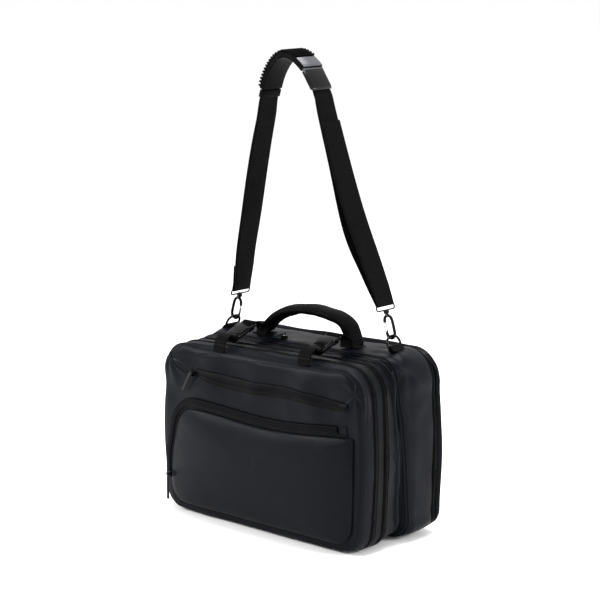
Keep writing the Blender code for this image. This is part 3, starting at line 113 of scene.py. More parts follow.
def add_node(tree, kind, **settings):
    """A shader node with some of its sockets and properties set."""
    node = tree.nodes.new(kind)
    for key, value in settings.items():
        if key in node.inputs:
            node.inputs[key].default_value = value
        else:
            setattr(node, key, value)
    return node


def worn_and_highlit_edges(tree, source, colour, wear_and_highlight):
    """A lighter tone along the edges of a form, partly edge wear and partly a painted highlight, by the
    given share.
    """
    geometry = add_node(tree, "ShaderNodeNewGeometry")
    edges = add_node(tree, "ShaderNodeMapRange")
    edges.inputs["From Min"].default_value = 0.54
    edges.inputs["From Max"].default_value = 0.66
    edges.inputs["To Max"].default_value = wear_and_highlight
    worn_and_highlit = add_node(tree, "ShaderNodeMix", data_type="RGBA")
    worn_and_highlit.inputs[7].default_value = (*[min(1.0, c * 3.5 + 0.02) for c in colour], 1.0)
    tree.links.new(geometry.outputs["Pointiness"], edges.inputs["Value"])
    tree.links.new(edges.outputs["Result"], worn_and_highlit.inputs["Factor"])
    tree.links.new(source, worn_and_highlit.inputs[6])
    return worn_and_highlit.outputs[2]


def material(name, colour, roughness, grain, metallic=0.0, weave=None, mottle=0.12, vary=0.08,
             wear_and_highlight=0.0, specular=0.5):
    """A finish with fine grain, an optional weave along given axes, and slow changes of tone and gloss.

    Grain is (size in metres, strength), weave is (pitch, strength, first axis, second axis).
    """
    made = bpy.data.materials.new(name)
    made.use_nodes = True
    tree = made.node_tree
    shader = tree.nodes["Principled BSDF"]
    shader.inputs["Metallic"].default_value = metallic
    shader.inputs["Specular IOR Level"].default_value = specular
    place = add_node(tree, "ShaderNodeTexCoord").outputs["Object"]

    slow = add_node(tree, "ShaderNodeTexNoise", Scale=14.0, Detail=4.0, Roughness=0.55)
    tree.links.new(place, slow.inputs["Vector"])
    tone = add_node(tree, "ShaderNodeValToRGB")
    for element, position, change in zip(tone.color_ramp.elements, (0.30, 0.72), (-mottle, mottle)):
        element.position = position
        element.color = (*[c * (1 + change) for c in colour], 1.0)
    tree.links.new(slow.outputs["Fac"], tone.inputs["Fac"])
    last = tone.outputs["Color"]
    # Lighter edges: partly edge wear, partly a painted highlight
    if wear_and_highlight:
        last = worn_and_highlit_edges(tree, last, colour, wear_and_highlight)
    tree.links.new(last, shader.inputs["Base Color"])

    gloss = add_node(tree, "ShaderNodeMapRange")
    gloss.inputs["From Min"].default_value = 0.3
    gloss.inputs["From Max"].default_value = 0.7
    gloss.inputs["To Min"].default_value = roughness - vary
    gloss.inputs["To Max"].default_value = roughness + vary
    tree.links.new(slow.outputs["Fac"], gloss.inputs["Value"])
    tree.links.new(gloss.outputs["Result"], shader.inputs["Roughness"])

    size, strength = grain
    fine = add_node(tree, "ShaderNodeTexNoise", Scale=1.0 / size, Detail=2.0, Roughness=0.6)
    tree.links.new(place, fine.inputs["Vector"])
    bump = add_node(tree, "ShaderNodeBump", Strength=strength, Distance=size * 0.25)
    tree.links.new(fine.outputs["Fac"], bump.inputs["Height"])
    if weave:
        pitch, strength, first, second = weave
        product = add_node(tree, "ShaderNodeMath", operation="MULTIPLY")
        for socket, axis in zip(product.inputs, (first, second)):
            wave = add_node(tree, "ShaderNodeTexWave", wave_type="BANDS", bands_direction=axis,
                            wave_profile="SIN", Scale=BAND_SCALE / pitch, Distortion=0.15)
            tree.links.new(place, wave.inputs["Vector"])
            tree.links.new(wave.outputs["Fac"], socket)
        grained = bump.outputs["Normal"]
        bump = add_node(tree, "ShaderNodeBump", Strength=strength, Distance=pitch * 0.3)
        tree.links.new(product.outputs[0], bump.inputs["Height"])
        tree.links.new(grained, bump.inputs["Normal"])
    tree.links.new(bump.outputs["Normal"], shader.inputs["Normal"])
    return made


M = {
    "front": material("coated_front", (0.0025, 0.0029, 0.0048), 0.38, grain=(0.0011, 0.35),
                      weave=(0.0016, 0.25, "X", "Z"), specular=0.055),
    "side": material("coated_side", (0.0024, 0.0028, 0.0047), 0.40, grain=(0.0011, 0.35),
                     weave=(0.0016, 0.25, "Y", "Z"), specular=0.055),
    "flap": material("coated_flap", (0.0014, 0.0015, 0.0021), 0.44, grain=(0.0011, 0.35),
                     weave=(0.0016, 0.25, "X", "Z"), specular=0.030),
    "binding": material("seam_binding", (0.0018, 0.0018, 0.0022), 0.5, grain=(0.0007, 0.5), specular=0.03),
    "webbing_x": material("webbing_x", (0.0012, 0.0012, 0.0013), 0.50, grain=(0.0006, 0.5),
                          weave=(0.0024, 0.9, "X", "Y"), specular=0.028),
    "webbing_y": material("webbing_y", (0.0012, 0.0012, 0.0013), 0.50, grain=(0.0006, 0.5),
                          weave=(0.0024, 0.9, "Y", "X"), specular=0.028),
    "webbing_z": material("webbing_z", (0.0013, 0.0013, 0.0014), 0.48, grain=(0.0006, 0.5),
                          weave=(0.0026, 0.9, "Z", "Y"), specular=0.028),
    "tape": material("zip_tape", (0.0012, 0.0012, 0.0014), 0.6, grain=(0.0006, 0.5),
                     weave=(0.0016, 0.6, "Z", "X"), specular=0.03),
    "coil": material("zip_coil", (0.0020, 0.0020, 0.0024), 0.26, grain=(0.0008, 0.2), specular=0.16),
    "thread": material("thread", (0.0080, 0.0084, 0.0095), 0.45, grain=(0.0004, 0.6), specular=0.12),
    "pad": material("rubber_pad", (0.0011, 0.0011, 0.0012), 0.42, grain=(0.0010, 0.4), specular=0.024),
    # The moulded plastic's lighter edges are partly edge wear and partly a painted highlight
    "plastic": material("moulded_plastic", (0.0016, 0.0016, 0.0018), 0.15, grain=(0.0009, 0.10), vary=0.04,
                        wear_and_highlight=0.9, specular=0.14),
    "plate": material("bare_plate", (0.0440, 0.0450, 0.0520), 0.36, grain=(0.0009, 0.10), vary=0.04,
                      specular=0.22),
    "puller": material("moulded_puller", (0.0060, 0.0120, 0.0130), 0.35, grain=(0.0009, 0.2), specular=0.2),
    "black_metal": material("black_metal", (0.0016, 0.0016, 0.0018), 0.20, grain=(0.0010, 0.12), vary=0.05,
                            specular=0.13),
    "bright_metal": material("bright_metal", (0.66, 0.66, 0.67), 0.22, metallic=1.0,
                             grain=(0.0008, 0.15), vary=0.06, mottle=0.05),
}


# Meshes

def finish_piece(name, mesh, look, body, replaced=()):
    """Links a mesh as a piece that rides a body and takes its finish from a slot."""
    thing = linked(name, mesh)
    mesh.materials.clear()
    mesh.materials.append(M[look])
    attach(thing, body)
    if replaced:
        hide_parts(*replaced)
    return thing


def body_of(node):
    """Name of the body that carries a CAD node."""
    return frame["nodes"][node]["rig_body"]


def smoothed(mesh, angle=40):
    """Shades a mesh smooth but for edges sharper than the angle."""
    mesh.shade_smooth()
    mesh.set_sharp_from_angle(angle=math.radians(angle))
    return mesh


def refined(node, levels, crease_angle=50, bevel=0.0, flat_limit=None):
    """A finer copy of a CAD node's mesh, rounded between its sharp edges or along them."""
    form = bmesh.new()
    form.from_mesh(frame["nodes"][node].data)
    bmesh.ops.remove_doubles(form, verts=form.verts, dist=0.00001)
    if flat_limit is not None:
        bmesh.ops.dissolve_limit(form, angle_limit=math.radians(flat_limit), verts=form.verts,
                                 edges=form.edges)
    else:
        bmesh.ops.join_triangles(form, faces=form.faces, angle_face_threshold=0.9,
                                 angle_shape_threshold=3.1)
    creases = form.edges.layers.float.new("crease_edge")
    for edge in form.edges:
        if len(edge.link_faces) == 2 and math.degrees(edge.calc_face_angle(0.0)) > crease_angle:
            edge[creases] = 0.0 if bevel else 1.0
    mesh = bpy.data.meshes.new(node + "_fine")
    form.to_mesh(mesh)
    form.free()
    holder = linked(node + "_holder", mesh)
    if bevel:
        cut = holder.modifiers.new("Bevel", "BEVEL")
        cut.width = bevel
        cut.segments = 3
        cut.limit_method = "ANGLE"
        cut.angle_limit = math.radians(crease_angle)
        cut.use_clamp_overlap = True
    if levels:
        divide = holder.modifiers.new("Subsurf", "SUBSURF")
        divide.levels = levels
        divide.render_levels = levels
    bpy.context.view_layer.update()
    fine = bpy.data.meshes.new_from_object(holder.evaluated_get(bpy.context.evaluated_depsgraph_get()))
    bpy.data.objects.remove(holder)
    return fine


def moved(mesh, relief):
    """Moves each point of a mesh by what relief gives at it, measured from the bag's place."""
    mesh.update()
    places = np.zeros(len(mesh.vertices) * 3, np.float32)
    normals = np.zeros(len(mesh.vertices) * 3, np.float32)
    mesh.vertices.foreach_get("co", places)
    mesh.vertices.foreach_get("normal", normals)
    after = []
    for place, normal in zip(places.reshape(-1, 3), normals.reshape(-1, 3)):
        point = Vector(place)
        after.extend(point + relief(point - BAG, Vector(normal)))
    mesh.vertices.foreach_set("co", np.array(after, np.float32))
    mesh.update()
    return mesh


def dressed(node, look, levels, crease_angle=50, relief=None, bevel=0.0, flat_limit=None,
            shade=45):
    """The looks of one CAD node: its own form made finer, with relief."""
    mesh = refined(node, levels, crease_angle, bevel, flat_limit)
    if relief:
        moved(mesh, relief)
    smoothed(mesh, shade)
    return finish_piece(node + "_looks", mesh, look, body_of(node), [node])


def from_parts(name, points, faces):
    """Mesh from arrays of points and faces."""
    mesh = bpy.data.meshes.new(name)
    mesh.from_pydata([tuple(p) for p in points], [], [tuple(f) for f in faces])
    mesh.update()
    return mesh


def loft_faces(rows, count, closed=False, start=0):
    """Faces that join rows of count points, with end faces unless the last row joins the first."""
    faces = []
    for row in range(rows if closed else rows - 1):
        near = start + row * count
        far = start + (row + 1) % rows * count
        for k in range(count):
            n = (k + 1) % count
            faces.append((near + k, near + n, far + n, far + k))
    if not closed:
        faces.append(tuple(start + k for k in reversed(range(count))))
        faces.append(tuple(start + (rows - 1) * count + k for k in range(count)))
    return faces


def turned_outward(mesh, bevel=0.0):
    """Turns a closed mesh's faces outward, and rounds its edges by a bevel."""
    form = bmesh.new()
    form.from_mesh(mesh)
    bmesh.ops.recalc_face_normals(form, faces=form.faces)
    if bevel:
        bmesh.ops.bevel(form, geom=form.edges, offset=bevel, segments=2, affect="EDGES")
    form.to_mesh(mesh)
    form.free()
    return mesh


TUBE_SIDES = 8


def tube_mesh(name, points, radius, closed=False):
    """A round cord of mesh along points, with its ends filled."""
    points = [Vector(p) for p in points]
    count = len(points)
    vertices = []
    side = None
    for index, point in enumerate(points):
        before = points[index - 1] if index or closed else points[0]
        after = points[(index + 1) % count] if index < count - 1 or closed else points[-1]
        along = (after - before).normalized()
        if side is None:
            side = Vector((0.0, 0.0, 1.0)) if abs(along.z) < 0.9 else Vector((0.0, 1.0, 0.0))
        side = (side - along * side.dot(along)).normalized()
        other = along.cross(side)
        vertices.extend(point + (side * math.cos(a) + other * math.sin(a)) * radius
                        for a in (2 * math.pi * k / TUBE_SIDES for k in range(TUBE_SIDES)))
    return smoothed(from_parts(name, vertices, loft_faces(count, TUBE_SIDES, closed)), 60)


# A block that tapers outwards, as corners from -1 to 1
CUBE = [(-1, -1, -1), (1, -1, -1), (1, 1, -1), (-1, 1, -1), (-0.6, -0.7, 1), (0.6, -0.7, 1), (0.6, 0.7, 1),
        (-0.6, 0.7, 1)]
CUBE_FACES = [(0, 3, 2, 1), (4, 5, 6, 7), (0, 1, 5, 4), (1, 2, 6, 5), (2, 3, 7, 6), (3, 0, 4, 7)]


def blocks_mesh(name, places, size):
    """Many small tapered blocks. Each place is (middle, along, outward); size is along, across, out."""
    points = []
    faces = []
    for middle, along, outward in places:
        along = along.normalized()
        outward = (outward - along * outward.dot(along)).normalized()
        across = along.cross(outward)
        start = len(points)
        for x, y, z in CUBE:
            points.append(middle + along * x * size[0] / 2 + across * y * size[1] / 2
                          + outward * z * size[2] / 2)
        faces.extend(tuple(start + k for k in face) for face in CUBE_FACES)
    return from_parts(name, points, faces)


def tree_of(meshes):
    """A search tree over meshes, in the row's frame."""
    points = []
    faces = []
    for mesh in meshes:
        start = len(points)
        points.extend(v.co.copy() for v in mesh.vertices)
        faces.extend([start + k for k in face.vertices] for face in mesh.polygons)
    return BVHTree.FromPolygons(points, faces)


def nearest_to(places, point):
    """Which of the places, an array, lies nearest to a point."""
    return int(np.argmin(((places - np.array(point)) ** 2).sum(1)))


def resampled(points, step, closed=False):
    """Points spaced evenly along a line, with the line's direction at each."""
    line = np.array([tuple(p) for p in points], float)
    if closed:
        line = np.vstack([line, line[:1]])
    runs = np.linalg.norm(np.diff(line, axis=0), axis=1)
    reach = np.concatenate([[0.0], np.cumsum(runs)])
    count = max(2, int(round(reach[-1] / step)))
    marks = np.linspace(0.0, reach[-1], count, endpoint=not closed)
    even = np.stack([np.interp(marks, reach, line[:, k]) for k in range(3)], axis=1)
    even = [Vector(p) for p in even]
    directions = []
    for index in range(len(even)):
        before = even[index - 1] if index or closed else even[0]
        after = even[(index + 1) % len(even)] if index < len(even) - 1 or closed else even[-1]
        directions.append((after - before).normalized())
    return even, directions


def eased(points, steps):
    """A smooth curve through points, with so many steps in each run."""
    points = [Vector(p) for p in points]
    line = []
    for index in range(len(points) - 1):
        a = points[max(index - 1, 0)]
        b = points[index]
        c = points[index + 1]
        d = points[min(index + 2, len(points) - 1)]
        for step in range(steps):
            t = step / steps
            line.append(0.5 * ((2 * b) + (c - a) * t + (2 * a - 5 * b + 4 * c - d) * t ** 2
                               + (3 * b - a - 3 * c + d) * t ** 3))
    line.append(points[-1])
    return line


def rounded_line(corners, bows, corner_steps=10, edge_steps=40):
    """Closed outline of (x, z) from corners (x, z, radius), with edges that bow outwards."""
    total = len(corners)
    arcs = []
    for index, (x, z, radius) in enumerate(corners):
        tip = Vector((x, z))
        before = (Vector(corners[index - 1][:2]) - tip).normalized()
        after = (Vector(corners[(index + 1) % total][:2]) - tip).normalized()
        half = before.angle(after) / 2
        middle = tip + (before + after).normalized() * radius / math.sin(half)
        start = tip + before * radius / math.tan(half) - middle
        end = tip + after * radius / math.tan(half) - middle
        sweep = start.angle_signed(end)
        arc = []
        for step in range(corner_steps + 1):
            turned = start.copy()
            turned.rotate(Matrix.Rotation(-sweep * step / corner_steps, 2))
            arc.append(middle + turned)
        arcs.append(arc)
    runs = []
    for index, arc in enumerate(arcs):
        runs.append([tuple(p) for p in arc])
        start = arc[-1]
        end = arcs[(index + 1) % total][0]
        along = (end - start).normalized()
        outward = Vector((along.y, -along.x))
        edge = []
        for step in range(1, edge_steps):
            share = step / edge_steps
            bow = bows[index] * math.sin(math.pi * share) ** 2
            edge.append(tuple(start.lerp(end, share) + outward * bow))
        runs.append(edge)
    return runs


# The bag's body

# Dents of the front face: x, z, reach and depth, where a negative depth is a swelling
FRONT_DENTS = [
    (-0.150, 0.262, 0.030, 0.0030), (-0.115, 0.230, 0.026, -0.0026), (-0.060, 0.262, 0.034, 0.0036),
    (-0.010, 0.238, 0.020, -0.0020), (0.050, 0.255, 0.030, 0.0030), (0.100, 0.262, 0.024, -0.0024),
    (0.150, 0.250, 0.026, 0.0030), (0.188, 0.230, 0.020, -0.0024), (-0.190, 0.200, 0.026, 0.0024),
    (0.020, 0.205, 0.040, 0.0018), (0.120, 0.215, 0.034, -0.0018),
]


# The front compartment's face lies in front of this depth, and the pocket's in front of the next
FACE_START = -0.088
POCKET_START = -0.1065


def wrinkle(place, size, seed):
    """Soft crease lines, from nothing to one."""
    value = noise.noise(Vector((place.x / size, place.y / size, place.z / size)) + Vector((seed, 0, 0)))
    edge = 1.0 - min(1.0, abs(value) * 1.9)
    return edge * edge * (3.0 - 2.0 * edge)


def cloth(place, seed, coarse=0.0012, fine=0.0007):
    """Slow waves and soft creases that a thin coated fabric has all over."""
    wave = noise.noise(place * 16.0 + Vector((seed, 0, 0)))
    return coarse * wave + fine * wrinkle(place, 0.060, seed + 5.0)


def upper_corner(place, start_x, start_z, size):
    """How far a place is into an upper corner, across and upward, and how near its diagonal it is."""
    across = (abs(place.x) - start_x) / size
    upward = (place.z - start_z) / size
    if across <= 0 or upward <= 0:
        return 0.0, 0.0, 0.0
    return across, upward, 2 * across * upward / (across ** 2 + upward ** 2)


def squared(place):
    """Fills out the upper corners of the front compartment."""
    across, upward, diagonal = upper_corner(place, 0.150, 0.225, 0.070)
    if not diagonal:
        return Vector((0.0, 0.0, 0.0))
    reach = math.hypot(across, upward)
    size = 0.0075 * diagonal * min(1.0, reach) ** 2 * ramp(place.y, -0.080, -0.014)
    return Vector((math.copysign(across, place.x), 0.0, upward)) / reach * size


def front_relief(place, normal):
    """Dents of the face, and pulled folds that run to its upper corners."""
    move = squared(place)
    if place.y >= FACE_START:
        return move + normal * cloth(place, 7.0) * 0.7
    push = 0.0
    for x, z, reach, depth in FRONT_DENTS:
        push += depth * swell(math.hypot(place.x - x, (place.z - z) * 1.25), reach)
    push -= cloth(place, 3.0)
    for side in (-1.0, 1.0):
        away = math.hypot(place.x - side * 0.205, place.z - 0.262)
        turn = math.atan2(place.z - 0.262, place.x - side * 0.205)
        push += 0.0011 * math.sin(turn * 7.0 + 1.0) * swell(away, 0.045) * min(1.0, away / 0.012)
    move.y += push
    return move


def pocket_relief(place, normal):
    """The pocket's faint waves and slight sag."""
    if place.y > POCKET_START:
        return Vector((0.0, 0.0, 0.0))
    push = 0.0010 * noise.noise(place * 8.0 + Vector((21.0, 0, 0)))
    push += 0.0006 * math.sin(place.x * 34.0 + 0.6) * swell(place.z - 0.160, 0.022)
    return Vector((0.0, -push, 0.0))


# Rows of the gusset from front to back: share of its depth, then how far the sides are in, the top
# down and the underside up, as shares of the largest of each
GUSSET_ROWS = [
    (0.00, 0.00, 0.00, 0.00), (0.04, 0.05, 0.04, 0.05), (0.13, 0.75, 0.60, 0.70), (0.22, 1.00, 0.85, 0.95),
    (0.34, 0.62, 0.50, 1.00), (0.46, 0.42, 0.26, 0.96), (0.55, 0.30, 0.10, 0.88), (0.66, 0.02, -0.12, 0.78),
    (0.76, 0.16, -0.05, 0.66), (0.86, 0.40, 0.08, 0.53), (0.94, 0.46, 0.30, 0.45), (1.00, 0.43, 0.43, 0.43),
]
GUSSET_FRONT = -0.0382
GUSSET_INSET = 0.012
GUSSET_LIFT = 0.014
GUSSET_THICK = 0.002
TOP_TILT = 0.006
SIDE_BOW = 0.006


def gusset_mesh():
    """The folded expansion gusset: long folds round the bag, gathered by short tucks across them."""
    shares = np.array([row[0] for row in GUSSET_ROWS])
    rings = []
    for share in np.linspace(0.0, 1.0, 30):
        inset, drop, lift = (float(np.interp(share, shares, [row[k] for row in GUSSET_ROWS]))
                             for k in (1, 2, 3))
        side = HALF_WIDTH - GUSSET_INSET * inset
        low = GUSSET_LIFT * lift
        high = FRONT_TOP - GUSSET_INSET * drop
        radius = mix(0.052, 0.036, share)
        runs = rounded_line([(-side, low, 0.040), (side, low, 0.040),
                             (side, high + TOP_TILT, radius), (-side, high - TOP_TILT, radius)],
                            [0.0, SIDE_BOW, 0.0, SIDE_BOW], corner_steps=12, edge_steps=50)
        outline = [p for run in runs for p in run]
        inside = math.sin(math.pi * share)
        ring_points = []
        for index, (x, z) in enumerate(outline):
            before = Vector(outline[index - 1])
            after = Vector(outline[(index + 1) % len(outline)])
            along = (after - before).normalized()
            y = GUSSET_FRONT * (1 - share) + share * CREASE_SLANT * (0.5 - z / REAR_TOP) - 0.0006 * share
            place = Vector((x, y, z))
            push = 0.0016 * math.sin(share * 8.5 + 2.2 * noise.noise(place * 9.0)) * inside
            push += 0.0030 * noise.noise(Vector((x * 13.0, share * 1.4, z * 13.0 + 4.0))) * inside
            push -= 0.0022 * wrinkle(Vector((x * 1.5, share * 0.02, z * 1.5)), 0.050, 31.0) * inside
            push = min(push, 0.0018)
            ring_points.append(BAG + Vector((x + along.y * push, y, z - along.x * push)))
        rings.append(ring_points)
    for row in (rings[-1], rings[0]):
        middles = [Vector((BAG.x, p.y, BAG.z + 0.15)) for p in row]
        rings.append([p + (middle - p).normalized() * GUSSET_THICK for p, middle in zip(row, middles)])
    points = [p for row in rings for p in row]
    faces = loft_faces(len(rings), len(rings[0]), closed=True)
    return smoothed(turned_outward(from_parts("gusset_fine", points, faces)), 60)


def fuller(place, normal):
    """Fills out the rear half: its shoulders stand up, its sides belly, its lower corners are squarer."""
    share = ramp(place.y, -0.004, 0.030) * (1.0 - ramp(place.y, 0.088, 0.015))
    flat = Vector((normal.x, 0.0, max(0.0, normal.z)))
    diagonal = upper_corner(place, 0.160, 0.243, 0.058)[2]
    side = ramp(abs(place.x), 0.10, 0.10)
    square = 0.0
    if normal.z < 0:
        square = math.copysign(0.0090 * 2 * abs(normal.x * normal.z), normal.x)
    return (flat * (0.0055 * diagonal + 0.0030 * side) + Vector((square, 0.0, 0.0))) * share


def rear_relief(place, normal):
    """Waves of the tall rear side, and creases pulled towards its upper front corner."""
    push = cloth(place, 41.0, 0.0016, 0.0010)
    if place.x > 0.15:
        away = math.hypot(place.y - 0.012, place.z - 0.286)
        turn = math.atan2(place.z - 0.286, place.y - 0.012)
        push += 0.0011 * math.sin(turn * 6.0 + 0.5) * swell(away, 0.060) * min(1.0, away / 0.014)
    wave = math.sin(place.z * 46.0 + 2.0 * noise.noise(place * 8.0))
    push += 0.0016 * wave * swell(place.y - 0.060, 0.030)
    return normal * push + fuller(place, normal)


def back_relief(place, normal):
    """Faint waves of the plain back, and its fuller rim."""
    out = Vector((0.0, 0.0035 * ramp(place.y, 0.092, 0.010), 0.0))
    edge = 2 * math.hypot(normal.x, max(0.0, normal.z)) * max(0.0, normal.y)
    rim = Vector((normal.x, normal.y, max(0.0, normal.z))) * 0.0085 * edge
    return normal * cloth(place, 55.0, 0.0018, 0.0009) + fuller(place, normal) + out + rim


front = dressed("front_compartment", "front", 3, relief=front_relief)
dressed("pocket_panel", "front", 3, relief=pocket_relief)
band = dressed("middle_band", "side", 3,
               relief=lambda p, n: n * cloth(p, 11.0, 0.0008, 0.0004))
gusset = finish_piece("gusset_looks", gusset_mesh(), "side", "bag", ["gusset"])
rear = dressed("rear_compartment", "side", 3, crease_angle=70, relief=rear_relief)
back = dressed("back_panel", "side", 2, relief=back_relief)
tapes = [dressed(node, "tape", 2, crease_angle=60, relief=fuller)
         for node in ("front_zip", "expansion_zip", "rear_zip")]

BODY = tree_of([o.data for o in [front, band, gusset, rear, back] + tapes])
FACE = tree_of([front.data])
RING_COUNT = 420
RING_TOP = 0.303


def ring(depth, slant=0.0, grow=0.0):
    """Points and outward directions round the bag's skin at one depth."""
    points = []
    outs = []
    half = RING_TOP / 2
    for index in range(RING_COUNT):
        turn = 2 * math.pi * index / RING_COUNT
        c = math.cos(turn)
        s = math.sin(turn)
        x = math.copysign(abs(c) ** 0.35, c)
        z = math.copysign(abs(s) ** 0.35, s)
        height = half + z * (half + 0.05)
        y = depth + slant * CREASE_SLANT * (0.5 - min(max(height, 0.0), REAR_TOP) / REAR_TOP)
        start = BAG + Vector((x * (HALF_WIDTH + 0.06), y, height))
        target = BAG + Vector((x * (HALF_WIDTH - 0.05), y, half + z * (half - 0.05)))
        for slip in (0.0, 0.0006, -0.0006, 0.0012, -0.0012):
            origin = start + Vector((0.0, slip, 0.0))
            hit, normal = BODY.ray_cast(origin, (target - start).normalized())[:2]
            if hit is not None:
                break
        if hit is None:
            continue
        hit.y = start.y
        flat = Vector((normal.x, 0.0, normal.z))
        if flat.length < 0.2:
            flat = start - target
        flat.normalize()
        points.append(hit + flat * grow)
        outs.append(flat)
    return points, outs


def around(points, outs, step):
    """Even points round the bag with direction and outward direction at each."""
    even, along = resampled(points, step, closed=True)
    line = np.array([tuple(p) for p in points])
    return [(point, direction, outs[nearest_to(line, point)]) for point, direction in zip(even, along)]


def zip_teeth(name, depth):
    """Two staggered rows of coil turns that stand on a zip's tape."""
    points, outs = ring(depth, grow=0.0003)
    places = []
    for index, (point, along, out) in enumerate(around(points, outs, 0.0016)):
        shift = Vector((0.0, 0.0011 if index % 2 else -0.0011, 0.0))
        places.append((point + shift + out * 0.0002, along, out))
    mesh = blocks_mesh(name, places, (0.0013, 0.0024, 0.0014))
    return finish_piece(name, mesh, "coil", "bag")


def piping(name, depth, radius, slant=0.0, grow=0.0006, look="binding"):
    """A sewn cord round the bag."""
    points = ring(depth, slant=slant, grow=grow)[0]
    even = resampled(points, 0.006, closed=True)[0]
    return finish_piece(name, tube_mesh(name, even, radius, closed=True), look, "bag")


def stitches(name, line):
    """A run of sewn thread along a line on the front."""
    even, along = resampled(line, 0.0032)
    places = [(point + FRONT_OUT * 0.0002, direction, FRONT_OUT) for point, direction in zip(even, along)]
    mesh = blocks_mesh(name, places, (0.0022, 0.0006, 0.0006))
    return finish_piece(name, mesh, "thread", "bag")


zip_teeth("front_zip_teeth", FRONT_ZIP_MIDDLE)
zip_teeth("expansion_zip_teeth", EXPANSION_ZIP_MIDDLE)
zip_teeth("rear_zip_teeth", REAR_ZIP_MIDDLE)
piping("front_seam_piping", SEAM_Y + 0.0022, 0.0012, look="front", grow=0.0001)
for word, depth in (("front", -0.0748), ("band", -0.0646), ("middle", -0.0487), ("gusset", -0.0386)):
    piping("zip_edge_" + word, depth, 0.0005, grow=0.0002)
piping("crease_piping_front", 0.0006, 0.0016, slant=1.0, grow=0.0004, look="side")
piping("crease_piping_rear", 0.0052, 0.0012, slant=1.0, grow=0.0002, look="side")
piping("rear_seam_piping", 0.0745, 0.0012, grow=0.0002)
piping("back_seam_piping", 0.0862, 0.0012, grow=0.0002)


# The front's zips and flaps

def face_depth(x, z):
    """Depth of the front face at a place (x, z) of the bag."""
    hit = FACE.ray_cast(BAG + Vector((x, -1.0, z)), -FRONT_OUT)[0]
    return hit.y if hit else SEAM_Y


def on_face(line, lift=0.0):
    """Points (x, z) of the bag laid on the front face, that far off it."""
    return [Vector((x + BAG.x, face_depth(x, z) - lift, z + BAG.z)) for x, z in line]


def flap_mesh(name, lower, upper, profile):
    """A soft band between two lines of (x, z). Profile is (share across, height off the face)."""
    points = []
    for (x_low, z_low), (x_high, z_high) in zip(lower, upper):
        for share, height in profile:
            points.extend(on_face([(mix(x_low, x_high, share), mix(z_low, z_high, share))], height))
    rows = min(len(lower), len(upper))
    mesh = from_parts(name, points, loft_faces(rows, len(profile)))
    return smoothed(turned_outward(mesh), 55)


def flat_line(points):
    """A smooth curve through points (x, z)."""
    return [(p.x, p.z) for p in eased([(x, 0.0, z) for x, z in points], 10)]


def lowered(line, drop):
    """A line of (x, z) moved down."""
    return [(x, z - drop) for x, z in line]


flap_top = flat_line([
    (-0.142, 0.2555), (-0.123, 0.2562), (-0.070, 0.2548), (-0.019, 0.2538), (0.030, 0.2555),
    (0.074, 0.2570), (0.110, 0.2555), (0.144, 0.2535), (0.172, 0.2515), (0.198, 0.2500)])
flap_low = flat_line([
    (-0.142, 0.2500), (-0.123, 0.2440), (-0.094, 0.2400), (-0.054, 0.2374), (-0.010, 0.2385),
    (0.033, 0.2408), (0.074, 0.2435), (0.114, 0.2420), (0.165, 0.2410), (0.198, 0.2440)])
PUFFY = [(0.0, 0.0012), (-0.02, 0.0024), (0.08, 0.0032), (0.30, 0.0034), (0.60, 0.0030), (0.85, 0.0024),
         (0.97, 0.0019), (1.0, 0.0004), (0.90, 0.0002), (0.5, 0.0004), (0.12, 0.0008)]
finish_piece("upper_flap_looks", flap_mesh("upper_flap", flap_low, flap_top, PUFFY), "flap", "bag",
             ["upper_zip_flap"])


def coil_row(name, lines, step, size, replaced=()):
    """Rows of coil turns along lines that lie on the face."""
    places = []
    for line in lines:
        even, along = resampled(line, step)
        places.extend((point, direction, FRONT_OUT) for point, direction in zip(even, along))
    return finish_piece(name, blocks_mesh(name, places, size), "coil", "bag", replaced)


coil_row("upper_coil_looks", [on_face(lowered(flap_low, drop), 0.0006) for drop in (0.0014, 0.0038)],
         0.0017, (0.0011, 0.0020, 0.0012), ["upper_zip_coil"])
upper_tape = flap_mesh("upper_tape", lowered(flap_low, 0.0055), lowered(flap_low, 0.0002),
                       [(0.0, 0.0002), (0.02, 0.0006), (0.98, 0.0006), (1.0, 0.0002)])
finish_piece("upper_tape_looks", upper_tape, "tape", "bag")


POCKET_RIGHT = 0.207
POCKET_RUNS = rounded_line([(-POCKET_RIGHT, 0.016, 0.034), (POCKET_RIGHT, 0.016, 0.034),
                            (POCKET_RIGHT, 0.194, 0.004), (-POCKET_RIGHT + 0.026, 0.186, 0.046)],
                           [0.0, 0.002, -0.009, 0.004])
POCKET_ARCH = [p for run in POCKET_RUNS[5:] for p in run]
POCKET_ARCH = [p for p in POCKET_ARCH if p[1] > 0.057 or p[0] > 0]


def offset(line, distance):
    """A line of (x, z) moved to its outer side by a distance."""
    moved_line = []
    for index, (x, z) in enumerate(line):
        before = Vector(line[max(index - 1, 0)])
        after = Vector(line[min(index + 1, len(line) - 1)])
        along = (after - before).normalized()
        moved_line.append((x + along.y * distance, z - along.x * distance))
    return moved_line


